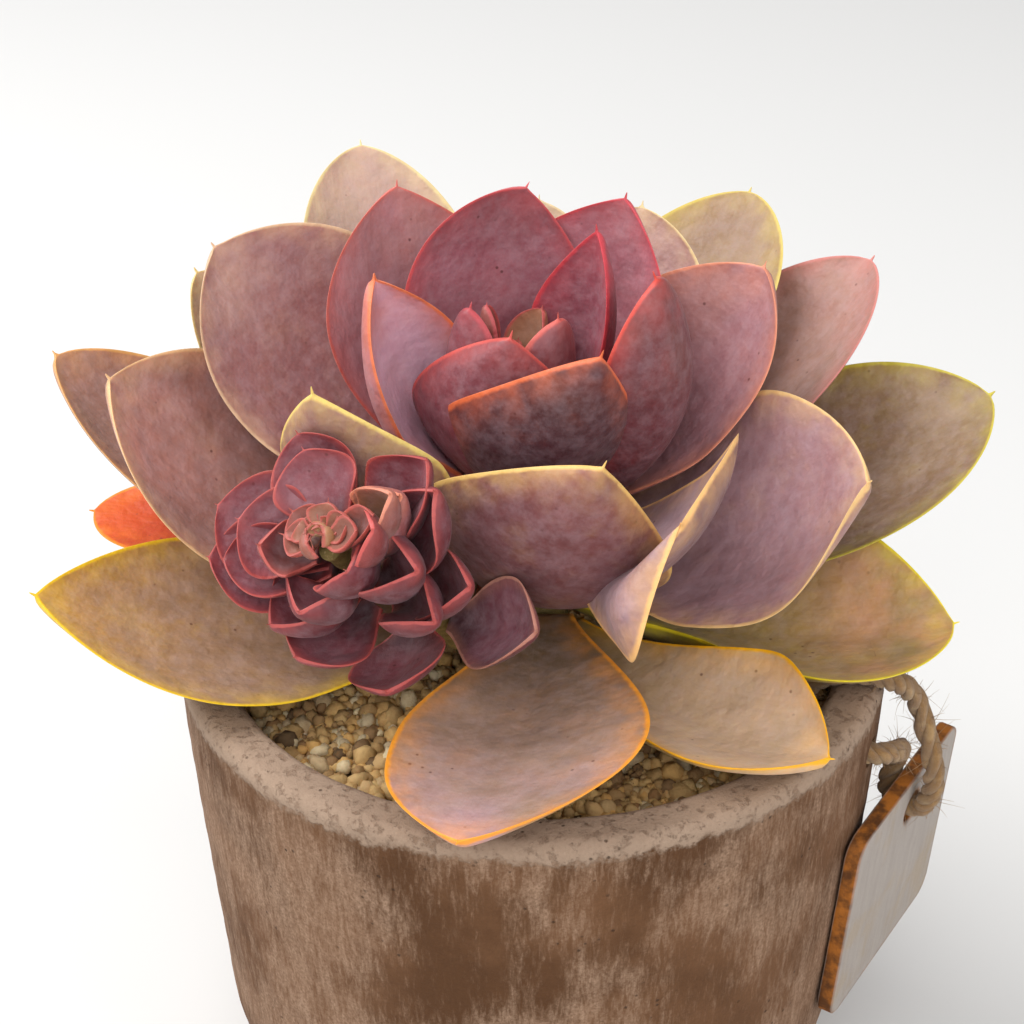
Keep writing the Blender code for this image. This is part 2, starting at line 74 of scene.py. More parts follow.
# Stems, from the centre of the pot's mouth
STEM_FOOT = np.array([3.0, -1.0, -30.0])
STEM_CROWN = np.array([-4.0, 5.0, 27.0])
STEM_RADIUS = 5.5
CROWN_RADIUS = 2.4
OFFSET_FOOT = np.array([-6.0, -8.0, 2.0])
OFFSET_CROWN = np.array([-24.5, -30.5, 31.5])
OFFSET_STEM_RADIUS = 2.4
OFFSET_CROWN_RADIUS = 1.4

# Leaves
WIDEST_AT = 0.6
BASE_WIDTH = 0.26
LEAF_FINENESS = (72, 72)  # rings, and points round each
SMALL_FINENESS = (52, 52)
HEART_FINENESS = (40, 40)

TIP_CROWDING = 1.3  # how much closer the rings stand towards the tip
TIP_WIDTH = 0.28  # of the short point, as a share of its length
SMALL_TIP = 0.55  # share of the point's length on the small leaves
FOLD_START = 0.25  # share of the half width where a fold begins
FOLD_SPREAD = 0.6
BLOOM = 0.16
SMALL_CLOSE = 0.35  # how far in the margin's glow runs on small leaves, against the large
FLESH_SHADE = np.array([0.8, 0.72, 0.75, 1.0])

# Tag and twine
TAG_WIDTH = 34.0
TAG_HEIGHT = 31.0
TAG_THICKNESS = 2.2
TAG_CORNER = 3.0
TAG_TURN = -30.0
TAG_LEAN = 5.0
TAG_WEAR = 0.175  # off the sharp edges of its faces
TAG_DROP = 19.0
TAG_CLEAR = 0.4
TAG_SIDE = 18.0
TAG_HOLE_DROP = 5.5
TAG_HOLE_SIDE = 2.0
TWINE_RADIUS = 1.4
TAG_HOLE_RADIUS = TWINE_RADIUS + 1.0
TWINE_TURN = -20.0
TWINE_HOLE_DROP = 9.0
TWINE_HOLE_RADIUS = TWINE_RADIUS + 0.6

# name: way it faces, tip, base height, width, roll, bow, sway, cup, traits
ROSETTE = {
    "heart_leaf_left": (215, (-8, 0, 48), 25, 11, 0, 3, 0, 40, {}),
    "heart_leaf_right": (-40, (3, 1, 46), 25, 13, 0, 2, 0, 40, {}),
    "heart_leaf_front": (
        -100, (-3, -6, 47), 23, 27, 0, 5, -2, 28,
        {"crease": 14, "widest": 0.36, "taper": 0.6},
    ),
    "heart_leaf_back": (45, (8, 10, 54), 24, 16, 0, 3, -5, 40, {"crease": 14, "taper": 0.6}),
    "inner_leaf_back_left": (115, (-1, 19, 56), 21, 28, 0, 5, 6, 30, {"taper": 0.2}),
    "inner_leaf_back_right": (66, (12, 20, 54), 19, 28, 0, 6, 0, 30, {"crease": 10, "taper": 0.4}),
    "inner_leaf_right": (
        -30, (15, -2, 53), 19, 31, 0, 16, 5, 35,
        {"lobes": ((-1, 0.4, 0.4, -0.45), (1, 0.8, 0.3, -0.15)), "crease": 8},
    ),
    "inner_leaf_front": (
        -88, (8, -13, 48), 22, 28, 0, 7, 0, 20,
        {"crease": 16, "widest": 0.34, "taper": 0.7},
    ),
    "inner_leaf_left": (
        185, (-20, 2, 51), 20, 21, -45, 6, 0, 45,
        {"crease": 14, "taper": 0.5, "wave": (0.8, 1.5, 0.4)},
    ),
    "inner_leaf_far_left": (130, (-18, 24, 54), 18, 34, 0, 6, 4, 30, {"taper": 0.5}),
    "middle_leaf_right": (
        25, (30, 14, 47), 16, 29, 20, 8, -2, 30,
        {"crease": 8, "lobes": ((-1, 0.7, 0.3, -0.15),), "wave": (0.8, 1.6, 0.2)},
    ),
    "middle_leaf_left_back": (155, (-42, 20, 47), 15, 36, -20, 6, -3, 30, {}),
    "middle_leaf_back_left": (116, (-24, 47, 50), 12, 27, 0, 6, 5, 30, {}),
    "middle_leaf_back": (65, (15, 35, 46), 16, 30, 0, 6, -2, 30, {}),
    "middle_leaf_rear": (92, (1, 46, 42), 11, 24, 0, 6, 0, 30, {}),
    "middle_leaf_back_right": (57, (31, 49, 42), 14, 27, 0, 4, -3, 30, {}),
    "middle_leaf_right_back": (34, (47, 35, 38), 9, 30, -5, 7, -1, 30, {}),
    "middle_leaf_right_front": (
        -18, (41, -16, 32), 12, 36, 28, 9, 4, 30,
        {"wave": (1.8, 1.7, 0.1)},
    ),
    "middle_leaf_front_right": (
        -38, (17, -31, 35), 14, 27, 10, 9, 2, 30,
        {
            "reach": 4,
            "folds": ((-1, 0.75, 0.5, -100),),
            "lobes": ((1, 0.88, 0.16, 0.6), (-1, 0.88, 0.2, 0.6), (-1, 0.3, 0.25, -0.4)),
            "wave": (0.6, 1.2, 0.3),
        },
    ),
    "middle_leaf_front": (
        -100, (8, -26, 40), 11, 34, -8, 13, -2, 30,
        {"widest": 0.5, "taper": 0.5, "wave": (0.4, 1.3, 0.3)},
    ),
    "middle_leaf_front_left": (-140, (-27, -15, 44), 13, 24, 30, 12, 0, 35, {"taper": 0.7}),
    "middle_leaf_left": (180, (-54, 0, 38), 10, 35, -22, 13, 0, 30, {}),
    "outer_leaf_left_back": (162, (-64, 18, 32), 5, 31, 0, 11, 4, 30, {}),
    "outer_leaf_left_front": (193, (-64, -12, 13), 4, 33, -12, 12, 2, 25, {"taper": 0.5}),
    "outer_leaf_front": (
        -66, (-9, -54, 6), 4, 30, 6, 2, 5, 20,
        {"lobes": ((-1, 0.92, 0.14, 0.1), (1, 0.6, 0.3, 0.15)), "wave": (0.5, 1.2, 0.2)},
    ),
    "outer_leaf_front_right": (
        -50, (36, -35, 4), 2, 33, 6, 3, -8, 30,
        {
            "crease": 10,
            "folds": ((1, 0.9, 0.15, 30),),
            "lobes": ((-1, 0.5, 0.35, -0.4), (1, 0.4, 0.4, -0.35)),
            "wave": (0.7, 1.1, 0.6),
        },
    ),
    "outer_leaf_right_front": (
        -8, (55, -8, 6), 5, 36, 12, 4, -8, 30,
        {"crease": 10, "lobes": ((-1, 0.25, 0.35, -0.75),), "wave": (0.6, 1.3, 0.3)},
    ),
    "outer_leaf_right": (14, (62, 18, 26), 9, 36, 10, 9, -2, 30, {}),
    "outer_leaf_right_back": (35, (56, 40, 15), 2, 24, 0, 5, 0, 30, {}),
    "outer_leaf_back_left": (142, (-46, 31, 38), 6, 26, 0, 8, 0, 30, {}),
    "aged_leaf": (158, (-62, 24, 4), 3, 22, -10, -3, 0, 20, {"wave": (1.2, 1.4, 0.3)}),
}

# name: tip, place along the offset stem, width, roll, bow, sway, cup, traits
OFFSET = {
    "offset_leaf_front_right": ((-19, -37, 38), 0.97, 9, 0, 3, 0, 40, {"crease": 14}),
    "offset_leaf_front_left": (
        (-33, -29, 31), 0.95, 9, 0, 3, 0, 40,
        {"crease": 14, "wave": (0.7, 1.4, 0.5)},
    ),
    "offset_leaf_right_heart": (
        (-17, -34, 41), 0.94, 10, 0, 3, 0, 40,
        {"crease": 28, "wave": (0.7, 1.4, 0.2)},
    ),
    "offset_leaf_back_inner": ((-28, -20, 39), 0.95, 12, 0, 3, 0, 35, {"wave": (0.8, 1.4, 0.4)}),
    "offset_leaf_left_inner": ((-36, -23, 31), 0.92, 13, 0, 3, 0, 40, {"wave": (0.7, 1.3, 0.2)}),
    "offset_leaf_front": (
        (-22, -38, 33), 0.92, 12, 0, 3, 0, 40,
        {"crease": 20, "wave": (0.7, 1.3, 0.4)},
    ),
    "offset_leaf_right_inner": (
        (-16, -31, 39), 0.88, 13, 0, 3, 0, 40,
        {"crease": 26, "wave": (0.7, 1.4, 0.6)},
    ),
    "offset_leaf_back": (
        (-29, -16, 39), 0.88, 13, 0, 3, 0, 35,
        {"crease": 10, "wave": (0.8, 1.2, 0.7)},
    ),
    "offset_leaf_back_right": (
        (-13, -26, 41), 0.85, 14, 0, 3, 0, 35,
        {"crease": 18, "wave": (0.7, 1.4, 0.1)},
    ),
    "offset_leaf_left_back": ((-39, -18, 30), 0.86, 15, 0, 4, 0, 35, {"wave": (0.5, 1.3, 0.8)}),
    "offset_leaf_left": (
        (-38, -24, 26), 0.86, 13, 0, 3, 0, 40,
        {"crease": 16, "folds": ((-1, 0.6, 0.4, 30),)},
    ),
    "offset_leaf_front_lower": (
        (-28, -36, 26), 0.84, 14, 0, 3, 0, 40,
        {"crease": 20, "folds": ((1, 0.6, 0.4, 30),), "wave": (0.6, 1.3, 0.9)},
    ),
    "offset_leaf_right_back": (
        (-12, -30, 39), 0.76, 15, 20, 5, 0, 40,
        {"crease": 24, "wave": (0.9, 1.3, 0.5)},
    ),
    "offset_leaf_fold_right": (
        (-14, -38, 33), 0.8, 15, 0, 3, 0, 45,
        {"crease": 34, "wave": (0.6, 1.2, 0.3)},
    ),
    "offset_leaf_left_outer": (
        (-40, -22, 25), 0.78, 15, 0, 4, 0, 35,
        {"crease": 10, "wave": (0.6, 1.2, 0.1)},
    ),
    "offset_leaf_front_outer": (
        (-32, -31, 21), 0.76, 15, 0, 3, 0, 35,
        {"crease": 22, "folds": ((1, 0.7, 0.3, 30),)},
    ),
    "offset_leaf_front_lowest": ((-29, -32, 17), 0.66, 14, 0, 3, 0, 30, {}),
    "offset_leaf_fold_lower": (
        (-12, -38, 26), 0.66, 14, 0, 3, 0, 45,
        {"crease": 34, "wave": (0.6, 1.2, 0.8)},
    ),
    "offset_leaf_lower_right": ((-8, -35, 29), 0.6, 12, 0, 3, 0, 40, {"crease": 20}),
    "offset_leaf_lowest": ((-18, -35, 14), 0.5, 14, 0, 3, 0, 30, {}),
    "offset_leaf_lowest_right": ((0, -31, 20), 0.36, 14, 0, 3, 0, 30, {"crease": 12}),
}

# tip, width, bow, cup and paleness of the smallest leaves at each heart
ROSETTE_HEART = (
    ((-6, 5, 46), 7, 1, 60, 0.2),
    ((1, 8, 44), 9, 1, 50, 0.6),
    ((-4, 4, 41), 6, 0, 60, 0.5),
    ((-2, 7, 40), 5, 0, 60, 0.7),
)
OFFSET_HEART = (
    ((-19, -34.5, 38.5), 5.5, 2, 50, 0.1),
    ((-21, -35.5, 37), 5, 1, 50, 0.2),
    ((-29, -27, 34.5), 6, 2, 45, 0.15),
    ((-28, -28.5, 34), 5, 1, 45, 0.35),
    ((-30, -29, 32.5), 5.5, 2, 45, 0.2),
    ((-27, -32.5, 33.5), 5, 1, 50, 0.25),
    ((-23.5, -31, 36), 4, 1, 60, 0.5),
    ((-26.5, -30.5, 35), 3.5, 1, 60, 0.8),
    ((-25, -33, 35), 3, 1, 60, 0.8),
    ((-25.5, -31.5, 35.2), 2.5, 0.5, 60, 1.0),
    ((-22, -33, 37), 5, 1, 55, 0.3),
    ((-24.5, -29, 37), 5.5, 1, 55, 0.35),
)

# inside, outside, root, tip and line of each leaf, as red-green-blue hex
LEAF_COLOURS = {
    "heart_leaf_left": "8a4a54 7a3a44 5e2630 8a4a50 b84a50",
    "heart_leaf_right": "96525a 8a4a50 5e2a34 9a5a5c c4584e",
    "heart_leaf_front": "8e4c56 84464e 702838 8e5052 cc544c",
    "heart_leaf_back": "94505c 84444e 7a3a46 a0545e c4404a",
    "inner_leaf_back_left": "a66670 98585f a05668 8e5458 c8565a",
    "inner_leaf_back_right": "c07c86 b06c74 9a5666 b47478 cc5058",
    "inner_leaf_right": "84444e 743c42 50222c 7c463e cc4438",
    "inner_leaf_front": "744250 58343a 481c26 6e4238 d8683c",
    "inner_leaf_left": "dcb4c4 c89098 b07890 cc8078 e07850",
    "inner_leaf_far_left": "c08c90 b48084 bc8890 bc8880 cc6a60",
    "middle_leaf_right": "ac7c80 9a6a6e 8a5a60 b88478 dc8c70",
    "middle_leaf_left_back": "a06c68 906060 845458 bc9486 dcb490",
    "middle_leaf_back_left": "ceb49c b49880 a89078 d4b4a0 e4cc94",
    "middle_leaf_back": "b48e8c a07a76 986c6c c09a88 e0c490",
    "middle_leaf_rear": "c4ac90 ac947a 9c8068 ccb49a d8c094",
    "middle_leaf_back_right": "a08462 8c724e 84684a b09468 ccb45c",
    "middle_leaf_right_back": "b08c78 98745f 885e4c b88878 cc8078",
    "middle_leaf_right_front": "b08c90 8a6868 6c5252 b08480 e4b87c",
    "middle_leaf_front_right": "b4989c 7c5c5c 644644 94706c e4b070",
    "middle_leaf_front": "945e60 7a4a4c 5e3838 8e5450 e0b468",
    "middle_leaf_front_left": "a87c80 9a6c68 8a5c5c b08878 e8c870",
    "middle_leaf_left": "a87a6c 947064 78584a cc9080 e8b888",
    "outer_leaf_left_back": "b08874 a47e64 907048 ac7c68 dca060",
    "outer_leaf_left_front": "ac8c68 94804c 6c5c34 c4984c e8bc20",
    "outer_leaf_front": "b0947a 948450 6c5834 c0a0a0 f0982c",
    "outer_leaf_front_right": "d4bc94 b4a058 9c884c ecd0a8 f8b010",
    "outer_leaf_right_front": "b49c5c 948440 6c6c34 f0b080 f0d828",
    "outer_leaf_right": "8c7050 6c5a2c 54421e a89068 c4b440",
    "outer_leaf_right_back": "b09070 90783c 746038 b8987c dcb850",
    "outer_leaf_back_left": "c4a486 a08460 8c7450 ccac88 e4c480",
    "aged_leaf": "d04800 b83800 a83400 dc5400 f08000",
    "offset_leaf": "8c4c54 5c2029 3c0e16 7c343c ac4c48",
    "offset_leaf_front_right": "96584c 84403c 742e30 843838 c05450",
    "offset_leaf_front_left": "7c4a44 6c3038 54262c 7c3c40 b0544c",
    "offset_leaf_right_heart": "9c7858 8c5a4c 8c6c4c 944c48 cc8068",
    "offset_leaf_right_inner": "a07864 8c5050 7c4440 9c5450 dc8468",
    "offset_leaf_lowest_right": "7c4450 5c2a34 3c1820 6c3840 b07868",
}


# ---------------------------------------------------------------- meshes


def unit(v):
    return v / np.linalg.norm(v, axis=-1, keepdims=True)


def smooth(t):
    t = np.clip(t, 0.0, 1.0)
    return t * t * (3 - 2 * t)


def turn_about(v, axis, angle):
    """v, which lies across a unit axis, turned about it: v cos + (axis x v) sin."""
    return v * np.cos(angle) + np.cross(axis, v) * np.sin(angle)


def band(rows, count, start=0, close=False):
    """Quads between the closed rings of a grid; close joins the last ring to the first."""
    k = np.arange(rows if close else rows - 1)[:, None]
    i = np.arange(count)[None, :]
    low, high, j = k * count, (k + 1) % rows * count, (i + 1) % count
    return start + np.stack([low + i, low + j, high + j, high + i], -1).reshape(-1, 4)


def fan(centre, first, count, turned=False):
    """Triangles from a pole to a closed ring of points."""
    i = np.arange(count)
    j = (i + 1) % count
    ends = (first + i, first + j) if turned else (first + j, first + i)
    return np.stack([np.full(count, centre), *ends], -1)


def capped(grid):
    """Points and faces of a tube of rings with a pole at the middle of each end ring."""
    rows, count = grid.shape[:2]
    points = np.concatenate([grid.reshape(-1, 3), grid[:1].mean(1), grid[-1:].mean(1)])
    last = rows * count
    faces = [
        band(rows, count),
        fan(last, 0, count),
        fan(last + 1, last - count, count, turned=True),
    ]
    return points, faces


def new_piece(name, points, faces, finish, readings=None, uv=None):
    """A smooth object at the origin from points in millimetres, turned out by its volume."""
    corners = np.concatenate([f.ravel() for f in faces])
    sizes = np.concatenate([np.full(len(f), f.shape[1]) for f in faces])
    thirds = np.concatenate([f[:, [0, k - 1, k]] for f in faces for k in range(2, f.shape[1])])
    a, b, c = (points[thirds[:, k]] for k in range(3))
    if np.einsum("ij,ij->", a, np.cross(b, c)) < 0:
        faces = [f[:, ::-1] for f in faces]
        corners = np.concatenate([f.ravel() for f in faces])
    mesh = bpy.data.meshes.new(name)
    mesh.vertices.add(len(points))
    mesh.vertices.foreach_set("co", (points * MM).astype(np.float32).ravel())
    mesh.loops.add(len(corners))
    mesh.loops.foreach_set("vertex_index", corners.astype(np.int32))
    mesh.polygons.add(len(sizes))
    starts = np.concatenate([[0], np.cumsum(sizes)[:-1]])
    mesh.polygons.foreach_set("loop_start", starts.astype(np.int32))
    mesh.update(calc_edges=True)
    for key, values in (readings or {}).items():
        made = mesh.attributes.new(key, "FLOAT", "POINT")
        made.data.foreach_set("value", np.asarray(values, np.float32).ravel())
    if uv is not None:
        layer = mesh.uv_layers.new(name="UVMap")
        layer.data.foreach_set("uv", np.asarray(uv, np.float32)[corners].ravel())
    mesh.validate()
    mesh.shade_smooth()
    mesh.materials.append(finish)
    obj = bpy.data.objects.new(name, mesh)
    bpy.context.scene.collection.objects.link(obj)
    return obj


def joined(parts):
    """Several (points, faces, readings) put together as one."""
    points, faces, readings = [], [], {}
    start = 0
    for some, sets, read in parts:
        points.append(some)
        faces += [f + start for f in sets]
        for key, values in read.items():
            readings.setdefault(key, []).append(np.asarray(values).ravel())
        start += len(some)
    return np.concatenate(points), faces, {k: np.concatenate(v) for k, v in readings.items()}


def stand_for(piece, node):
    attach(piece, "root")
    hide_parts(node)
    return piece


# ---------------------------------------------------------------- materials


def colour(hexadecimal):
    """Linear red, green, blue and alpha from a display colour in hex."""
    parts = np.array([int(hexadecimal[k : k + 2], 16) for k in (0, 2, 4)]) / 255
    linear = np.where(parts <= 0.04045, parts / 12.92, ((parts + 0.055) / 1.055) ** 2.4)
    return (*linear.tolist(), 1.0)


class Finish:
    """A material in the making: each method adds a node and gives back its output."""

    def __init__(self, name, roughness, **sockets):
        self.material = bpy.data.materials.new(name)
        self.material.use_nodes = True
        self.tree = self.material.node_tree
        self.shader = self.tree.nodes["Principled BSDF"]
        self.shader.inputs["Roughness"].default_value = roughness
        for socket, value in sockets.items():
            self.shader.inputs[socket.replace("_", " ")].default_value = value
        place = self.add("ShaderNodeTexCoord").outputs["Object"]
        self.place = self.scaled(place, (1 / MM,) * 3)

    def add(self, kind, inputs=(), **settings):
        node = self.tree.nodes.new(kind)
        for key, value in settings.items():
            setattr(node, key, value)
        for socket, value in inputs:
            if isinstance(value, bpy.types.NodeSocket):
                self.tree.links.new(value, node.inputs[socket])
            elif value is not None:
                node.inputs[socket].default_value = value
        return node

    def scaled(self, vector, scale):
        """The vector with each of its parts multiplied."""
        node = self.add("ShaderNodeMapping", [("Vector", vector), ("Scale", scale)])
        return node.outputs[0]

    def read(self, attribute):
        return self.add("ShaderNodeAttribute", attribute_name=attribute).outputs["Fac"]

    def noise(self, scale, detail=3.0, rough=0.5, vector=None, twist=0.0):
        inputs = [
            ("Vector", vector or self.place),
            ("Scale", scale),
            ("Detail", detail),
            ("Roughness", rough),
            ("Distortion", twist),
        ]
        return self.add("ShaderNodeTexNoise", inputs).outputs["Fac"]

    def cells(self, scale):
        """Distance to the nearest of a scatter of points."""
        inputs = [("Vector", self.place), ("Scale", scale)]
        return self.add("ShaderNodeTexVoronoi", inputs).outputs["Distance"]

    def sum(self, a, b, operation="ADD"):
        return self.add("ShaderNodeMath", [(0, a), (1, b)], operation=operation).outputs[0]

    def times(self, a, b):
        return self.sum(a, b, "MULTIPLY")

    def fade(self, value, low, high, start=0.0, end=1.0):
        """Smoothly from start at low to end at high."""
        inputs = [(0, value), (1, low), (2, high), (3, start), (4, end)]
        if low > high:
            inputs = [(0, value), (1, high), (2, low), (3, end), (4, start)]
        return self.add("ShaderNodeMapRange", inputs, interpolation_type="SMOOTHSTEP").outputs[0]

    def mix(self, share, a, b, blend="MIX"):
        inputs = [(0, share), (6, a), (7, b)]
        node = self.add("ShaderNodeMix", inputs, data_type="RGBA", blend_type=blend)
        return node.outputs[2]

    def toned(self, share, base, value, dark, light):
        """The base made darker and lighter by a value, softly."""
        tones = self.mix(value, (*dark, 1), (*light, 1))
        return self.mix(share, base, tones, "SOFT_LIGHT")

    def plane(self, x, y):
        """A vector of two values."""
        return self.add("ShaderNodeCombineXYZ", [(0, x), (1, y)]).outputs[0]

    def relief(self, height, depth, under=None):
        inputs = [("Height", height), ("Distance", depth * MM), ("Normal", under)]
        return self.add("ShaderNodeBump", inputs).outputs[0]

    def wire(self, socket, value):
        self.tree.links.new(value, self.shader.inputs[socket])

    def done(self, base, normal=None, roughness=None):
        self.wire("Base Color", base)
        if normal is not None:
            self.wire("Normal", normal)
        if roughness is not None:
            self.wire("Roughness", roughness)
        return self.material


def leaf_finish(name, sizes, inside, outside, root, tip, line, bloom=BLOOM, tone=False, close=1.0):
    """Waxy leaf skin: mottled flesh, a powdery bloom, fine speckles and a bright thin margin.

    Close draws the margin's glow in, for small leaves, and tone lightens by the paleness attribute.
    """
    inside, outside, root, tip, line = map(colour, (inside, outside, root, tip, line))
    inside, outside, root, tip = (tuple(c * FLESH_SHADE) for c in (inside, outside, root, tip))
    f = Finish(
        name,
        0.5,
        Subsurface_Weight=0.1,
        Subsurface_Radius=(1.0, 0.4, 0.25),
        Subsurface_Scale=0.0025,
        Sheen_Weight=0.05,
        Sheen_Roughness=0.45,
        Specular_IOR_Level=0.4,
    )
    along, across, margin, upper = map(f.read, ("along", "across", "margin", "upper"))
    broad = f.noise(0.09, 3.0)
    patches = f.noise(0.16, 5.0, 0.62)
    fine = f.noise(2.4, 3.0, 0.6)
    flesh = f.mix(upper, outside, inside)
    flesh = f.mix(f.times(f.fade(along, 0.55, 0.05), 0.9), flesh, root)
    flesh = f.mix(f.times(f.fade(along, 0.5, 1.0), f.fade(broad, 0.3, 0.65)), flesh, tip)
    # rubbed and blushed patches
    flesh = f.mix(f.fade(patches, 0.48, 0.74, 0.0, 0.28), flesh, f.mix(0.4, flesh, line))
    flesh = f.mix(f.fade(patches, 0.54, 0.28, 0.0, 0.4), flesh, f.mix(0.5, flesh, root))
    # faint lengthwise veins
    lie = f.plane(f.times(across, 9.0), f.times(along, 1.6))
    stray = f.scaled(f.place, (0.02,) * 3)
    lie = f.add("ShaderNodeVectorMath", [(0, lie), (1, stray)]).outputs[0]
    veins = f.noise(1.6, 4.0, 0.6, lie)
    flesh = f.toned(0.2, flesh, veins, (0.16, 0.15, 0.15), (0.9, 0.88, 0.86))
    flesh = f.toned(0.16, flesh, fine, (0.1, 0.1, 0.1), (0.95, 0.93, 0.9))
    # bloom
    powder = f.times(f.fade(f.noise(0.5, 6.0, 0.68), 0.3, 0.72), f.fade(margin, 0.4, 2.5))
    flesh = f.mix(f.times(powder, bloom), flesh, colour("cdb9c2"))
    # small marks
    spots = f.times(f.fade(f.cells(0.42), 0.13, 0.04), f.fade(f.noise(0.16, 1.0), 0.5, 0.62))
    flesh = f.mix(f.times(spots, 0.7), flesh, colour("4c1c18"))
    # glow towards the margin, then the margin itself
    near = f.fade(margin, sizes.glow_width * close / MM, 0.3)
    near = f.times(near, f.fade(f.noise(0.3, 2.0), 0.2, 0.7))
    flesh = f.mix(f.times(near, 0.42), flesh, line)
    edge_wobble = f.sum(margin, f.times(f.noise(0.8, 2.0), 0.5))
    width = sizes.margin_width / MM
    flesh = f.mix(f.fade(edge_wobble, width + 0.15 + 0.6 * close, width + 0.15), flesh, line)
    if tone:
        pale = f.mix(f.fade(margin, 0.1, 0.6), colour("a8584c"), colour("a47c54"))
        flesh = f.mix(f.read("paleness"), flesh, pale)
    dents = f.relief(f.sum(f.noise(0.22, 3.0), f.times(veins, 0.06)), 0.8)
    pores = f.relief(f.sum(fine, f.times(f.noise(6.0, 2.0), 0.5)), 0.035, dents)
    dull = f.sum(f.fade(fine, 0.3, 0.7, 0.42, 0.52), f.times(powder, 0.12))
    return f.done(flesh, pores, dull)


def clay_finish(colours):
    """Brown clay under a brushed pale wash, rubbed thick on the lip."""
    f = Finish("clay", 0.88, Specular_IOR_Level=0.25)
    height = f.add("ShaderNodeSeparateXYZ", [(0, f.place)]).outputs["Z"]
    tilt = [("Vector", f.place), ("Scale", (1, 1, 0.2)), ("Rotation", (0.16, -0.12, 0.0))]
    lie = f.add("ShaderNodeMapping", tilt).outputs[0]
    strokes = f.noise(0.3, 8.0, 0.72, lie, 0.5)
    thin = f.noise(1.6, 5.0, 0.7, lie, 0.5)
    broad = f.noise(0.05, 4.0, 0.6)
    grain = f.noise(2.4, 5.0, 0.7)
    clay = f.mix(f.fade(broad, 0.35, 0.65), colours.clay_dark, colours.clay)
    cover = f.fade(f.noise(0.045, 3.0, 0.5), 0.36, 0.6, -0.06, 0.1)
    wash = f.fade(f.sum(f.sum(f.times(strokes, 0.5), f.times(thin, 0.5)), cover), 0.42, 0.74)
    wash = f.times(wash, f.fade(grain, 0.3, 0.62, 0.4, 1.0))
    # the lip's band ends on a ragged line below the rim
    ragged = f.sum(f.times(f.noise(0.3, 5.0, 0.7), 5.0), f.times(f.noise(1.6, 3.0), 1.6))
    line = f.sum(height, ragged, "SUBTRACT")
    lip = f.fade(line, POT_HEIGHT - 6.6, POT_HEIGHT - 5.4)
    worn = f.fade(f.noise(0.7, 5.0, 0.7), 0.3, 0.52)
    lip = f.times(lip, f.fade(worn, 0.0, 1.0, 0.55, 1.0))
    base = f.mix(f.times(wash, 0.72), clay, colours.wash)
    base = f.mix(lip, base, colours.lip)
    base = f.toned(0.35, base, grain, (0.1, 0.1, 0.1), (0.95, 0.95, 0.95))
    pits = f.times(f.fade(f.cells(0.55), 0.16, 0.05), f.fade(f.noise(0.12, 1.0), 0.5, 0.6))
    base = f.mix(f.times(pits, 0.7), base, colour("3c2818"))
    rough = f.relief(f.sum(strokes, f.times(lip, 0.8)), 0.35)
    fine = f.relief(f.sum(grain, f.times(pits, -1.2)), 0.16, rough)
    return f.done(base, fine)


def grit_finish():
    """Sand-coloured grains, each of its own tone; the dark between them is the bed's painted shade.
    """
    f = Finish("grit", 0.8, Specular_IOR_Level=0.35, Subsurface_Weight=0.05, Subsurface_Scale=0.001)
    tones = f.add("ShaderNodeValToRGB", [("Fac", f.read("tone"))])
    ramp = tones.color_ramp
    stops = ("5c4a34", "8c6c48", "ac8c5c", "c4a470", "c89c5c", "b4a284", "d8c49c", "ece0c8")
    while len(ramp.elements) < len(stops):
        ramp.elements.new(0.5)
    for k, stop in enumerate(stops):
        ramp.elements[k].position = k / (len(stops) - 1)
        ramp.elements[k].color = colour(stop)
    grain = f.noise(1.6, 4.0, 0.7)
    base = f.toned(0.5, tones.outputs["Color"], grain, (0.12, 0.1, 0.08), (0.9, 0.88, 0.84))
    base = f.mix(f.fade(f.noise(0.5, 3.0), 0.55, 0.75, 0.0, 0.4), base, colour("8a6030"))
    return f.done(base, f.relief(grain, 0.18))


def shade_bed_finish():
    """The fill between the grains, painted dark brown as the shade in the gaps between them."""
    f = Finish("bed", 0.95, Specular_IOR_Level=0.2)
    fill_lumps = f.noise(1.2, 5.0, 0.75)
    # painted shade: these dark browns stand for the shade in the gaps between the grains
    base = f.mix(fill_lumps, colour("302014"), colour("846440"))
    return f.done(base, f.relief(fill_lumps, 0.8))


def stem_finish():
    """Brown-green bark with the pale rings of shed leaves."""
    f = Finish("stem", 0.75, Specular_IOR_Level=0.3)
    rings = f.noise(0.7, 4.0, 0.6, f.scaled(f.place, (0.35, 0.35, 1.6)))
    grain = f.noise(2.0, 4.0, 0.7)
    base = f.mix(rings, colour("54401e"), colour("9a8850"))
    base = f.mix(f.fade(grain, 0.55, 0.75), base, colour("b49a70"))
    return f.done(base, f.relief(f.sum(rings, f.times(grain, 0.4)), 0.35))


def wood_finish(colours):
    """A weathered grey face with fine grain, scorched amber and brown on its cut edges."""
    f = Finish("wood", 0.72, Specular_IOR_Level=0.3)
    grain = f.noise(0.8, 5.0, 0.65, f.scaled(f.place, (1.0, 1.0, 0.12)), 0.3)
    fine = f.noise(3.5, 4.0, 0.7)
    face = f.mix(grain, colours.wood, colours.wood_pale)
    stain = f.fade(f.noise(0.12, 4.0, 0.6), 0.5, 0.68, 0.0, 0.35)
    face = f.mix(stain, face, colour("a8906c"))
    char = f.mix(f.fade(f.noise(0.35, 4.0, 0.6), 0.35, 0.65), colours.scorch, colour("5a3414"))
    rim = f.read("rim")
    base = f.mix(f.fade(f.sum(rim, f.times(fine, 0.25)), 0.55, 0.75), face, char)
    halo = f.fade(f.sum(rim, f.times(f.noise(0.5, 3.0), 0.3)), 0.3, 0.7, 0.0, 0.6)
    base = f.mix(halo, base, char)
    base = f.toned(0.3, base, fine, (0.15, 0.15, 0.15), (0.9, 0.9, 0.9))
    return f.done(base, f.relief(f.sum(grain, f.times(fine, 0.3)), 0.16))


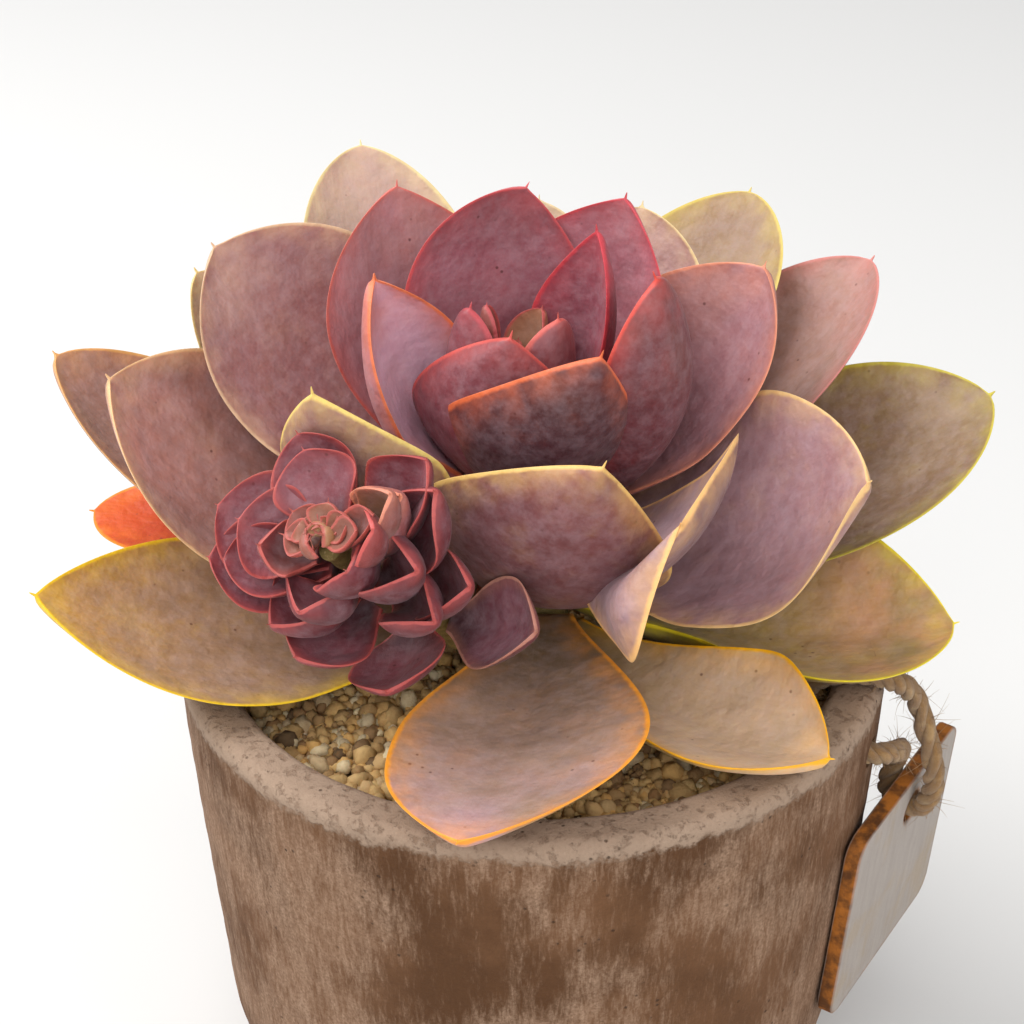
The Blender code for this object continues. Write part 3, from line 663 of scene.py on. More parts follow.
def jute_finish(colours):
    """Twisted tan fibres, lighter where they catch the light and darker in the lay."""
    f = Finish("jute", 0.9, Specular_IOR_Level=0.2, Sheen_Weight=0.3, Sheen_Roughness=0.5)
    around, along = f.read("around"), f.read("along")
    lie = f.plane(f.times(around, 7.0), f.times(along, 26.0))
    fibres = f.noise(3.0, 4.0, 0.7, lie, 0.4)
    broad = f.noise(0.5, 2.0)
    base = f.mix(fibres, colours.jute_dark, colours.jute)
    base = f.mix(f.fade(broad, 0.45, 0.7, 0.0, 0.4), base, colour("c8a878"))
    return f.done(base, f.relief(fibres, 0.22))


def floor_finish(colours):
    """A matt pale table with the faintest unevenness."""
    f = Finish("floor", 0.7, Specular_IOR_Level=0.2)
    cloud = f.noise(0.004, 2.0)
    pale = colours.floor
    return f.done(f.mix(f.times(cloud, 0.05), pale, colour("d8d8d8")))


# ---------------------------------------------------------------- leaves


def leaf_outline(u, widest, taper):
    """Half width as a share of the widest: a power of a sine, then of one less a power.

    A taper of one gives nearly straight sides to the tip, and of none a round end.
    """
    low = BASE_WIDTH + (1 - BASE_WIDTH) * np.sin(np.pi / 2 * np.minimum(u, widest) / widest) ** 1.3
    t = np.clip((u - widest) / (1 - widest), 0, 1)
    return np.where(u < widest, low, (1 - t ** (2.4 - taper)) ** (0.66 + 0.3 * taper))


def bump(u, at, span):
    """A bell of height one: e to the minus square of the distance from its middle over its span."""
    return np.exp(-(((u - at) / span) ** 2))


def leaf(base, tip, side, width, roll, bow, sway, cup, thickness, sizes, traits, fineness, seed):
    """A fleshy leaf as (points, faces, readings) and the share along and across of each point.

    The midrib is a quadratic curve from base to tip whose middle control point is moved by bow,
    sway and reach. At each place along it the blade is an arc across, whose slope is the cup
    times the place across plus any fold, summed from the middle outwards. The section's upper
    side is that arc and its lower side hangs below it by one minus the square of the place
    across, and both meet in a round edge. A short point ends the tip.

    Traits may add a reach (mm), a crease along the midrib (degrees), a wave of the margins (mm,
    waves along, phase), folds (side, place, span, degrees) and lobes (side, place, span, share),
    or change the outline's widest place and taper.
    """
    rings, around = fineness
    length = np.linalg.norm(tip - base)
    chord = unit(tip - base)
    side = unit(side - chord * side.dot(chord))
    face = np.cross(chord, side)
    bend = (base + tip) / 2 - face * bow + side * sway + chord * traits.get("reach", 0)
    small = sizes.leaf_thickness / MM > thickness
    point = sizes.tip_length / MM * (SMALL_TIP if small else 1.0)
    end = 1 + point / length
    u = (1 - (1 - np.linspace(0, 1, rings + 1)[:-1]) ** TIP_CROWDING) * end
    main = np.minimum(u, 1.0)
    t = u[:, None]
    centre = base * (1 - t) ** 2 + bend * 2 * t * (1 - t) + tip * t**2
    along = unit(np.gradient(centre, axis=0))
    across = unit(side - along * (along @ side)[:, None])
    across = turn_about(across, along, (np.radians(roll) * smooth(u / 0.5))[:, None])
    upward = np.cross(along, across)

    half = width / 2 * leaf_outline(main, traits.get("widest", WIDEST_AT), traits.get("taper", 0.0))
    spine = point * TIP_WIDTH * np.clip((end - u) / (2 * (end - 1)), 0, 1) ** 0.7
    half = np.hypot(half, spine)[:, None]
    u, main = u[:, None], main[:, None]

    steps = around // 2
    v = np.cos(np.pi * np.arange(steps + 1) / steps)[None, :]
    slope = v * np.radians(cup) * (0.6 + 0.4 * smooth(main / 0.4))
    for sign, at, span, turn in traits.get("folds", ()):
        beyond = smooth((v * sign - FOLD_START) / FOLD_SPREAD)
        slope = slope + np.radians(turn) * sign * beyond * bump(main, at, span)
    crease = traits.get("crease", 0)
    slope = slope + np.radians(crease) * np.tanh(v * 6) * smooth(main / 0.3)
    share = np.ones_like(slope)
    for sign, at, span, more in traits.get("lobes", ()):
        share = share + more * (v * sign > 0) * bump(main, at, span)
    across_steps = -np.diff(v) * share[:, 1:]
    middle = steps // 2

    def summed(values):
        means = (values[:, 1:] + values[:, :-1]) / 2 * across_steps
        total = np.concatenate([np.zeros((len(values), 1)), -np.cumsum(means, 1)], 1)
        return total - total[:, middle : middle + 1]

    spread, lift = summed(np.cos(slope)) * half, summed(np.sin(slope)) * half
    amount, count, phase = traits.get("wave", (0.25, 1.3, seed * 0.37))
    ripple = np.sin(2 * np.pi * (count * main + phase) + 2.1 * (v < 0))
    lift = lift + amount * ripple * np.abs(v) ** 2.2 * smooth(main / 0.35) * (half / (half + 3))

    index = np.concatenate([np.arange(steps + 1), np.arange(steps - 1, 0, -1)])
    angle = 2 * np.pi * np.arange(2 * steps) / (2 * steps)
    top = np.sin(angle)[None, :]
    v, slope, spread, lift = v[:, index], slope[:, index], spread[:, index], lift[:, index]
    plump = thickness * (0.75 + 0.25 * smooth(main / 0.3)) * (1 - 0.6 * smooth((main - 0.3) / 0.7))
    plump = plump * half / (half + 1.2)
    edge = sizes.edge_thickness / MM / 2 * (1 - 0.4 * main) * half / (half + 0.35)
    soft = 0.12 * np.sin(v * half * 0.55 + seed) * np.sin(u * length * 0.23 + 2 * seed)
    rib = 0.35 * np.exp(-((v * half / 1.3) ** 2)) * smooth(main / 0.2) * smooth((0.95 - main) / 0.5)
    under = plump * (1 - np.abs(v) ** 1.9) - soft * (1 - v**2)
    thick = edge * top + np.where(top < 0, -under, (soft - rib) * (1 - v**2))
    spread = spread - thick * np.sin(slope)
    lift = lift + thick * np.cos(slope)
    grid = centre[:, None] + across[:, None] * spread[..., None] + upward[:, None] * lift[..., None]

    points, faces = capped(grid)
    points[-1] = centre[-1] + along[-1] * point * 0.12

    def told(values, first, last):
        return np.concatenate([np.broadcast_to(values, slope.shape).ravel(), [first, last]])

    inward = np.minimum(half * (1 - np.abs(v)), (end - u) * length * 0.8)
    readings = {
        "along": told(main, 0, 1),
        "across": told(v * half / 10, 0, 0),
        "margin": told(inward, 5, 0),
        "upper": told(smooth(0.5 + top * 3), 0.5, 0.5),
    }
    uv = np.stack([told(v * 0.5 + 0.5, 0.5, 0.5), readings["along"]], -1)
    return points, faces, readings, uv


def along_stem(foot, crown, share):
    return foot + (crown - foot) * share


def rosette_shape(facing, tip, height, *rest):
    """Base, tip and side of a leaf that stands on the main stem at a height, facing a way."""
    out = np.array([np.cos(np.radians(facing)), np.sin(np.radians(facing)), 0.0])
    side = np.array([-out[1], out[0], 0.0])
    place = (height - STEM_FOOT[2]) / (STEM_CROWN[2] - STEM_FOOT[2])
    radius = STEM_RADIUS + (CROWN_RADIUS - STEM_RADIUS) * smooth(height / STEM_CROWN[2])
    base = along_stem(STEM_FOOT, STEM_CROWN, place) + out * (radius + 1.2)
    return base + MOUTH, np.array(tip, float) + MOUTH, side, *rest


def offset_shape(tip, place, *rest):
    """The same on the offset's slanting stem, at a share of its length, facing its own tip."""
    axis = unit(OFFSET_CROWN - OFFSET_FOOT)
    root = along_stem(OFFSET_FOOT, OFFSET_CROWN, place)
    tip = np.array(tip, float)
    out = tip - root
    out = unit(out - axis * out.dot(axis))
    base = root + out * (OFFSET_STEM_RADIUS + 0.3)
    return base + MOUTH, tip + MOUTH, np.cross(axis, out), *rest


def heart_parts(crown, axis, rows, radius, thickness, sizes):
    """The smallest leaves about a bud, whose middle lies just above the crown."""
    middle = crown + axis * (radius + 0.3)
    parts = []
    for k, (tip, width, bow, cup, paleness) in enumerate(rows):
        tip = np.array(tip, float)
        away = tip - middle
        out = away - axis * away.dot(axis)
        out = unit(out) if np.linalg.norm(out) > 1 else unit(np.cross(axis, (1.0, 0.3, 0.0)))
        base = middle + out * radius * 0.3
        shape = (base + MOUTH, tip + MOUTH, np.cross(axis, out), width, 0, bow, 0, cup)
        points, faces, readings, _ = leaf(*shape, thickness, sizes, {}, HEART_FINENESS, k)
        readings["paleness"] = np.full(len(points), paleness)
        parts.append((points, faces, readings))
    return joined(parts)


# ---------------------------------------------------------------- pot, filling and stems


def outer_radius(z):
    """The rim's radius less a taper that grows as the depth below the lip to the power 1.3."""
    down = (POT_HEIGHT - LIP_ROUND - z) / (POT_HEIGHT - LIP_ROUND - BASE_ROUND)
    return RIM_RADIUS - POT_TAPER * down**1.3


def arc(centre, radius, first, last, steps):
    """Points (radius, height) of an arc between two angles in degrees."""
    a = np.radians(np.linspace(first, last, steps + 1))
    return np.stack([centre[0] + radius * np.cos(a), centre[1] + radius * np.sin(a)], -1)


def turned(profile, sides):
    """A grid of a profile of (radius, height) turned about the upright axis."""
    a = 2 * np.pi * np.arange(sides) / sides
    r, z = profile[:, 0][:, None], profile[:, 1][:, None]
    return np.stack([r * np.cos(a), r * np.sin(a), z + 0 * a], -1)


def waves(points, scales, seed):
    """Smooth unevenness from -1 to 1: the mean of sines of a few fixed mixtures of x, y and z."""
    draw = np.random.default_rng(seed)
    total = 0
    for scale in scales:
        way = draw.normal(size=3)
        total = total + np.sin(points @ (way / np.linalg.norm(way)) * scale + draw.uniform(0, 6.3))
    return total / len(scales)


def pot_grid():
    """The outside up from the foot, the lip and the bowl's inside, turned and then roughened."""
    low = outer_radius(BASE_ROUND)
    wall_top = POT_HEIGHT - LIP_ROUND
    wall = np.linspace(BASE_ROUND, wall_top, 60)[1:-1]
    foot = np.stack([np.linspace(0.5, low - BASE_ROUND, 8)[:-1], np.zeros(7)], -1)
    outside = arc((low - BASE_ROUND, BASE_ROUND), BASE_ROUND, -90, 0, 28)
    skin = np.stack([outer_radius(wall), wall], -1)
    lip = arc((RIM_RADIUS - LIP_ROUND, wall_top), LIP_ROUND, 0, 90, 8)
    mouth = RIM_RADIUS - POT_WALL
    inner_lip = arc((mouth + LIP_ROUND, wall_top), LIP_ROUND, 90, 180, 8)
    inner = np.stack([outer_radius(wall[::-1]) - POT_WALL, wall[::-1]], -1)
    bowl = BASE_ROUND - POT_FLOOR
    floor = arc((low - POT_WALL - bowl, BASE_ROUND), bowl, 0, -90, 12)
    middle = np.array([[8.0, POT_FLOOR], [0.5, POT_FLOOR]])
    profile = np.concatenate([foot, outside, skin, lip, inner_lip, inner, floor, middle])
    grid = turned(profile, 288)
    out = unit(grid * (1, 1, 0) + 1e-9)
    rough = waves(grid, (0.35, 0.5, 0.8, 1.3, 1.9), 3) * 0.1
    rough = rough + waves(grid, (0.07, 0.11, 0.16), 4) * 0.25
    high = smooth((grid[..., 2] - 60) / 12) * smooth((grid[..., 2] - 8) / 10)
    settle = smooth(grid[..., 2] / 6)
    grid = grid + out * (rough * settle)[..., None]
    grid[..., 2] += waves(grid, (0.09, 0.2, 0.45, 0.9), 5) * 0.18 * high
    return grid


def grit_top(radius):
    """Height of the bed at a distance from the axis: a low dome."""
    edge = RIM_RADIUS - POT_WALL - 0.5
    return POT_HEIGHT - GRIT_DROP + 1.5 * smooth((1 - radius / edge) * 5 / 3)


def bed_grid():
    """The fill as one turned body, with a lumpy top."""
    edge = RIM_RADIUS - POT_WALL - 0.9
    side = np.linspace(BASE_ROUND, POT_HEIGHT - GRIT_DROP - 0.5, 8)
    bowl = BASE_ROUND - POT_FLOOR - 0.3
    low = outer_radius(BASE_ROUND) - POT_WALL - 0.3 - bowl
    bottom = arc((low, BASE_ROUND), bowl, -90, 0, 8)
    wall = np.stack([outer_radius(side[1:]) - POT_WALL - 0.3, side[1:]], -1)
    r = np.linspace(edge, 0.4, 60)
    top = np.stack([r, grit_top(r) - 0.9], -1)
    grid = turned(np.concatenate([bottom, wall, top]), 160)
    lumps = waves(grid, (0.5, 0.9, 1.4, 2.1), 8) * 0.5
    inward = edge - np.hypot(grid[..., 0], grid[..., 1])
    grid[..., 2] += lumps * smooth((grid[..., 2] - 60) / 5) * smooth(inward / 2)
    return grid


def grain_parts(size, seed):
    """Grains as balls of five rings of seven points, each squashed, dented and turned."""
    draw = np.random.default_rng(seed)
    reach = RIM_RADIUS - POT_WALL - size * 0.75
    step = size * 0.86
    line = np.arange(-reach, reach, step)
    x, y = np.meshgrid(line, line * 0.9)
    spots = np.stack([x.ravel(), y.ravel()], -1)
    spots = np.concatenate([spots, spots + step / 2])
    spots = spots + draw.uniform(-0.4, 0.4, spots.shape) * step
    away = np.hypot(spots[:, 0], spots[:, 1])
    spots = spots[away < reach]
    away = away[away < reach]
    count = len(spots)
    radius = size / 2 * draw.uniform(0.55, 1.2, count)
    height = grit_top(away) - 0.5 + draw.uniform(-0.25, 0.75, count) * size * 0.4
    ring = np.pi * np.arange(1, 6) / 6
    turn = 2 * np.pi * np.arange(7) / 7
    ball = np.stack(
        [
            np.sin(ring)[:, None] * np.cos(turn),
            np.sin(ring)[:, None] * np.sin(turn),
            np.cos(ring)[:, None] + 0 * turn,
        ],
        -1,
    ).reshape(-1, 3)
    ball = np.concatenate([ball, [[0, 0, 1], [0, 0, -1]]])
    faces = [band(5, 7), fan(35, 0, 7), fan(36, 28, 7, turned=True)]
    dent = draw.uniform(0.78, 1.16, (count, len(ball), 1))
    stretch = draw.uniform(0.65, 1.15, (count, 1, 3))
    local = ball[None] * dent * stretch * radius[:, None, None]
    spin = draw.normal(size=(count, 4))
    w, a, b, c = unit(spin).T
    rows = [
        [1 - 2 * (b * b + c * c), 2 * (a * b - c * w), 2 * (a * c + b * w)],
        [2 * (a * b + c * w), 1 - 2 * (a * a + c * c), 2 * (b * c - a * w)],
        [2 * (a * c - b * w), 2 * (b * c + a * w), 1 - 2 * (a * a + b * b)],
    ]
    spins = np.moveaxis(np.array(rows), 2, 0)
    points = local @ np.swapaxes(spins, 1, 2)
    points = points + np.concatenate([spots, height[:, None]], 1)[:, None]
    start = np.arange(count)[:, None, None] * len(ball)
    sets = [(f[None] + start).reshape(-1, f.shape[1]) for f in faces]
    tone = np.repeat(draw.beta(2.2, 2.6, count), len(ball))
    return points.reshape(-1, 3), sets, {"tone": tone}


def stem_grid(foot, crown, radius, crown_radius):
    """A straight tapering tube with shallow rings, as leaf scars leave."""
    share = np.linspace(0, 1, 70)
    centre = along_stem(foot, crown, share[:, None]) + MOUTH
    axis = unit(crown - foot)
    across = unit(np.cross(axis, (0.0, 1.0, 0.0)))
    other = np.cross(axis, across)
    height = centre[:, 2] - MOUTH[2]
    r = radius + (crown_radius - radius) * smooth(height / crown[2])
    r = (r * (1 + 0.05 * np.sin(share * 70)))[:, None]
    a = 2 * np.pi * np.arange(40) / 40
    r = r * (1 + 0.04 * np.sin(a * 3 + share[:, None] * 23))
    ring = np.cos(a)[:, None] * across + np.sin(a)[:, None] * other
    return centre[:, None] + r[..., None] * ring


# ---------------------------------------------------------------- tag and twine


def tag_frame():
    """The middle of the tag's top edge on its back, and its side, up and face directions."""
    a = np.radians(TAG_TURN)
    face = np.array([np.cos(a), np.sin(a), 0.0])
    side = np.array([-face[1], face[0], 0.0])
    up = turn_about(UP, side, np.radians(TAG_LEAN))
    drop = np.linspace(0, TAG_HEIGHT, 11)
    wall = (outer_radius(POT_HEIGHT - TAG_DROP - drop) + drop * np.sin(np.radians(TAG_LEAN))).max()
    top = face * (wall + TAG_CLEAR) + side * TAG_SIDE + UP * (POT_HEIGHT - TAG_DROP)
    return top, side, up, np.cross(side, up)


def tag_hole():
    top, side, up, face = tag_frame()
    return top + side * TAG_HOLE_SIDE - up * TAG_HOLE_DROP + face * TAG_THICKNESS / 2


def tag_grid():
    """Rays from the hole's rim over the front, round the edge and back, with a cut-edge reading.

    A ray ends where it meets the outline, a rectangle whose corners are quarter circles.
    """
    count = 240
    a = 2 * np.pi * np.arange(count) / count
    way = np.stack([np.cos(a), np.sin(a)], -1)
    hole = np.array([TAG_HOLE_SIDE, -TAG_HOLE_DROP])
    low = np.array([-TAG_WIDTH / 2, -TAG_HEIGHT])
    high = np.array([TAG_WIDTH / 2, 0.0])
    with np.errstate(divide="ignore", invalid="ignore"):
        reach = np.where(way < 0, (low - hole) / way, np.inf)
        reach = np.where(way > 0, (high - hole) / way, reach).min(1)
    outline = hole + way * reach[:, None]
    kept = np.clip(outline, low + TAG_CORNER, high - TAG_CORNER)
    beyond = outline - kept
    away = np.linalg.norm(beyond, axis=1, keepdims=True)
    corner = (np.abs(beyond) > 1e-6).all(1, keepdims=True)
    rounded = kept + beyond / np.maximum(away, 1e-9) * np.minimum(away, TAG_CORNER)
    outline = np.where(corner, rounded, outline)
    rim = hole + way * TAG_HOLE_RADIUS
    run = np.concatenate([[0.0, 0.02], np.linspace(0.04, 0.98, 26), [0.99, 1.0]])
    worn = TAG_WEAR * np.isin(run, (0.0, 1.0))
    t = TAG_THICKNESS
    share = np.concatenate([run, np.ones(3), run[::-1], np.zeros(2)])
    edge, bore = t * np.array([0.75, 0.5, 0.25]), t * np.array([0.3, 0.7])
    depth = np.concatenate([t - worn, edge, worn[::-1], bore])
    sawn = np.concatenate([0 * run, np.ones(3), 0 * run, np.ones(2)])[:, None]
    flat = rim + (outline - rim) * share[:, None, None]
    near = np.minimum(np.linalg.norm(flat - outline, axis=2), np.linalg.norm(flat - rim, axis=2))
    reading = np.maximum(sawn, np.clip(0.5 - near * 0.42, 0, 1))
    top, side, up, face = tag_frame()
    return top + flat[..., :1] * side + flat[..., 1:] * up + depth[:, None, None] * face, reading


def about(turn, radius, z):
    a = np.radians(turn)
    return np.array([radius * np.cos(a), radius * np.sin(a), POT_HEIGHT + z])


def twine_route():
    """Out through the wall, through the tag from behind, up before it and back over the rim."""
    _, side, up, face = tag_frame()
    hole = tag_hole()
    inside = RIM_RADIUS - POT_WALL - TWINE_RADIUS - 1
    outside = RIM_RADIUS + TWINE_RADIUS
    rest = TAG_THICKNESS / 2 + TWINE_RADIUS + GAP
    return np.array(
        [
            about(TWINE_TURN, inside, -TWINE_HOLE_DROP + 1.5),
            about(TWINE_TURN, inside + 3, -TWINE_HOLE_DROP),
            about(TWINE_TURN, RIM_RADIUS, -TWINE_HOLE_DROP),
            about(TWINE_TURN + 5, outside + 1.2, -TWINE_HOLE_DROP - 2),
            hole - face * (rest - 0.6) + up * 8,
            hole - face * rest + up * 2,
            hole,
            hole + face * rest + up * 1.5,
            hole + face * (rest + 0.6) + up * 8 - side * 1,
            about(TWINE_TURN + 10, outside + 3.1, -6),
            about(TWINE_TURN + 4, outside + 0.2, TWINE_RADIUS - 0.8),
            about(TWINE_TURN + 2, RIM_RADIUS - POT_WALL / 2, TWINE_RADIUS + 0.6),
            about(TWINE_TURN + 1, inside + 0.2, 0.2),
            about(TWINE_TURN, inside - 0.6, -4),
        ]
    )


def closed_curve(corners, steps):
    """A closed path through the corners, whose cubic stretches follow their neighbours' line."""
    a, b, c, d = (np.roll(corners, -k, 0)[:, None] for k in (-1, 0, 1, 2))
    t = (np.arange(steps) / steps)[None, :, None]
    path = b * 2 + (c - a) * t + (a * 2 - b * 5 + c * 4 - d) * t**2 + (b * 3 - a - c * 3 + d) * t**3
    return path.reshape(-1, 3) / 2


def round_trip(path):
    """Unit directions along a closed path, and two across it, the first near the loop's normal."""
    along = unit(np.roll(path, -1, 0) - np.roll(path, 1, 0))
    a = np.radians(TWINE_TURN)
    plane = np.array([-np.sin(a), np.cos(a), 0.0])
    first = unit(plane - along * (along @ plane)[:, None])
    return along, first, np.cross(along, first)


def twine_parts(radius, plies, twists):
    """Plies as tubes whose middles wind round the route, a whole number of twists in all."""
    route = closed_curve(twine_route(), 24)
    count = len(route)
    _, first, second = round_trip(route)
    share = np.arange(count) / count
    parts = []
    for ply in range(plies):
        turn = 2 * np.pi * (twists * share + ply / plies)
        away = first * np.cos(turn)[:, None] + second * np.sin(turn)[:, None]
        middle = route + away * radius * 0.52
        _, one, two = round_trip(middle)
        a = 2 * np.pi * np.arange(14) / 14
        wobble = 1 + 0.08 * np.sin(share * 2 * np.pi * 31 + ply)[:, None]
        wobble = wobble + 0.06 * np.sin(a * 5 + turn[:, None] * 2)
        ring = one[:, None] * np.cos(a)[:, None] + two[:, None] * np.sin(a)[:, None]
        grid = middle[:, None] + ring * (radius * 0.56 * wobble)[..., None]
        readings = {
            "along": np.broadcast_to(np.abs(share * 2 - 1)[:, None], wobble.shape) * 2.0,
            "around": np.broadcast_to(np.sin(a + turn[:, None]), wobble.shape),
        }
        parts.append((grid.reshape(-1, 3), [band(count, 14, close=True)], readings))
    return joined(parts)


def fuzz_parts(radius, longest, count, seed):
    """Loose fibres: three-sided hairs that leave the twine and bend along it."""
    draw = np.random.default_rng(seed)
    route = closed_curve(twine_route(), 24)
    along, first, second = round_trip(route)
    pick = draw.integers(0, len(route), count)
    turn = draw.uniform(0, 2 * np.pi, count)[:, None]
    away = first[pick] * np.cos(turn) + second[pick] * np.sin(turn)
    lean = along[pick] * draw.uniform(-1, 1, (count, 1))
    length = longest * draw.uniform(0.25, 1.0, (count, 1, 1)) ** 1.5
    stray = draw.normal(size=(count, 3)) * 0.5
    t = np.linspace(0, 1, 5)[None, :, None]
    start = (route[pick] + away * radius * 0.9)[:, None]
    path = start + length * (away[:, None] * t + lean[:, None] * t + stray[:, None] * t**2)
    one = unit(np.cross(away, along[pick]))[:, None, None]
    two = unit(away + lean * 0.2)[:, None, None]
    two = unit(np.cross(one, two))
    a = (2 * np.pi * np.arange(3) / 3)[None, None, :, None]
    thin = 0.05 * (1 - 0.7 * t)[..., None]
    grid = path[:, :, None] + thin * (one * np.cos(a) + two * np.sin(a))
    each = 15
    start = np.arange(count)[:, None, None] * each
    ends = np.array([[0, 2, 1]]), np.array([[12, 13, 14]])
    sets = [(f[None] + start).reshape(-1, f.shape[1]) for f in (band(5, 3), *ends)]
    total = count * each
    readings = {"along": np.repeat(draw.uniform(0, 2, count), each), "around": np.zeros(total)}
    return grid.reshape(-1, 3), sets, readings


# ---------------------------------------------------------------- what a user changes


def length_of(name, description, millimetres):
    return FloatProperty(
        name=name,
        description=description,
        default=millimetres * MM,
        min=0.0,
        subtype="DISTANCE",
        unit="LENGTH",
    )


def colour_of(name, description, hexadecimal):
    return FloatVectorProperty(
        name=name,
        description=description,
        default=colour(hexadecimal),
        size=4,
        min=0.0,
        max=1.0,
        subtype="COLOR",
    )


class SucculentSizes(bpy.types.PropertyGroup):
    """Sizes of the leaves, grit and twine."""

    leaf_thickness: length_of("Leaf thickness", "Flesh of a rosette leaf at its middle", 3.2)
    offset_thickness: length_of("Offset leaf thickness", "Flesh of an offset leaf", 1.9)
    edge_thickness: length_of("Edge thickness", "Round edge of a leaf", 0.9)
    tip_length: length_of("Tip length", "Short point at the end of a leaf", 1.0)
    margin_width: length_of("Margin width", "Coloured line along a leaf's edge", 0.35)
    glow_width: length_of("Glow width", "How far the margin's colour runs in", 6.0)
    grain_size: length_of("Grain size", "Usual width of a grain of grit", 2.9)
    twine_twists: IntProperty(name="Twists", description="Twists in the loop of twine", default=13)
    fuzz_length: length_of("Fuzz length", "Longest loose fibre of the twine", 2.6)
    fuzz_count: IntProperty(name="Fibres", description="Loose fibres on the twine", default=420)


class SucculentColours(bpy.types.PropertyGroup):
    """Colours of the pot, tag, twine and floor."""

    clay: colour_of("Clay", "Bare clay", "6c4a30")
    clay_dark: colour_of("Dark clay", "Bare clay where it is darkest", "54361e")
    wash: colour_of("Wash", "Pale brushed wash", "b0927a")
    lip: colour_of("Lip", "Rubbed lip", "a08874")
    wood: colour_of("Wood", "Weathered face of the tag", "968c84")
    wood_pale: colour_of("Pale wood", "Lighter grain of the tag", "b2a8a0")
    scorch: colour_of("Scorch", "Cut edge of the tag", "a86420")
    jute: colour_of("Jute", "Fibres of the twine", "b48c5c")
    jute_dark: colour_of("Dark jute", "Twine in its lay", "6a4a28")
    floor: colour_of("Floor", "Pale table", "dddcda")


# ---------------------------------------------------------------- operators


class SucculentStep(bpy.types.Operator):
    """Shared reading of the sizes and colours."""

    def sizes(self, context):
        return context.scene.succulent_sizes

    def colours(self, context):
        return context.scene.succulent_colours


class SUCCULENT_OT_pot(SucculentStep):
    """The clay pot, turned and roughened, with the twine's hole through its wall."""

    bl_idname = "succulent.pot"
    bl_label = "Pot"

    def execute(self, context):
        points, faces = capped(pot_grid())
        pot = new_piece("clay_pot", points, faces, clay_finish(self.colours(context)))
        drill_wall(pot)
        stand_for(pot, "pot")
        return {"FINISHED"}


def drill_wall(pot):
    """Cuts a round hole through the wall where the twine passes."""
    start = about(TWINE_TURN, RIM_RADIUS - POT_WALL - 4, -TWINE_HOLE_DROP)
    end = about(TWINE_TURN, RIM_RADIUS + 4, -TWINE_HOLE_DROP)
    axis = unit(end - start)
    one = np.cross(axis, UP)
    a = 2 * np.pi * np.arange(32) / 32
    ring = TWINE_HOLE_RADIUS * (np.cos(a)[:, None] * one + np.sin(a)[:, None] * UP)
    points, faces = capped(np.stack([start + ring, end + ring]))
    drill = new_piece("drill", points, faces, pot.data.materials[0])
    cut = pot.modifiers.new("hole", "BOOLEAN")
    cut.operation = "DIFFERENCE"
    cut.solver = "EXACT"
    cut.object = drill
    graph = bpy.context.evaluated_depsgraph_get()
    mesh = bpy.data.meshes.new_from_object(pot.evaluated_get(graph))
    pot.modifiers.clear()
    pot.data = mesh
    bpy.data.objects.remove(drill, do_unlink=True)


class SUCCULENT_OT_filling(SucculentStep):
    """The bed of fill, and the loose grains that cover it."""

    bl_idname = "succulent.filling"
    bl_label = "Grit"

    def execute(self, context):
        size = self.sizes(context).grain_size / MM
        # the bed's dark colour is painted shade, seen in the gaps between the grains
        points, faces = capped(bed_grid())
        bed = new_piece("grit_bed", points, faces, shade_bed_finish())
        stand_for(bed, "grit")
        finish = grit_finish()
        for name, share, seed in (("grit_grains", 1.0, 21), ("grit_crumbs", 0.62, 22)):
            points, faces, readings = grain_parts(size * share, seed)
            grains = new_piece(name, points, faces, finish, readings)
            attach(grains, "root")
        return {"FINISHED"}


class SUCCULENT_OT_stems(SucculentStep):
    """The main stem and the offset's."""

    bl_idname = "succulent.stems"
    bl_label = "Stems"

    def execute(self, context):
        finish = stem_finish()
        for node, *shape in (
            ("main_stem", STEM_FOOT, STEM_CROWN, STEM_RADIUS, CROWN_RADIUS),
            ("offset_stem", OFFSET_FOOT, OFFSET_CROWN, OFFSET_STEM_RADIUS, OFFSET_CROWN_RADIUS),
        ):
            points, faces = capped(stem_grid(*shape))
            stand_for(new_piece(f"{node}_bark", points, faces, finish), node)
        return {"FINISHED"}


class SUCCULENT_OT_rosette(SucculentStep):
    """The leaves of the large rosette, one piece each."""

    bl_idname = "succulent.rosette"
    bl_label = "Rosette leaves"

    def execute(self, context):
        sizes = self.sizes(context)
        thickness = sizes.leaf_thickness / MM
        for seed, (node, (*shape, traits)) in enumerate(ROSETTE.items()):
            made = leaf(*rosette_shape(*shape), thickness, sizes, traits, LEAF_FINENESS, seed)
            bloom = 0.0 if node == "aged_leaf" else BLOOM
            finish = leaf_finish(node, sizes, *LEAF_COLOURS[node].split(), bloom=bloom)
            stand_for(new_piece(f"{node}_blade", *made[:2], finish, *made[2:]), node)
        return {"FINISHED"}


class SUCCULENT_OT_offset(SucculentStep):
    """The leaves of the small offset rosette, one piece each."""

    bl_idname = "succulent.offset"
    bl_label = "Offset leaves"

    def execute(self, context):
        sizes = self.sizes(context)
        thickness = sizes.offset_thickness / MM
        for seed, (node, (*shape, traits)) in enumerate(OFFSET.items(), start=50):
            made = leaf(*offset_shape(*shape), thickness, sizes, traits, SMALL_FINENESS, seed)
            palette = LEAF_COLOURS.get(node, LEAF_COLOURS["offset_leaf"]).split()
            finish = leaf_finish(node, sizes, *palette, close=SMALL_CLOSE)
            stand_for(new_piece(f"{node}_blade", *made[:2], finish, *made[2:]), node)
        return {"FINISHED"}


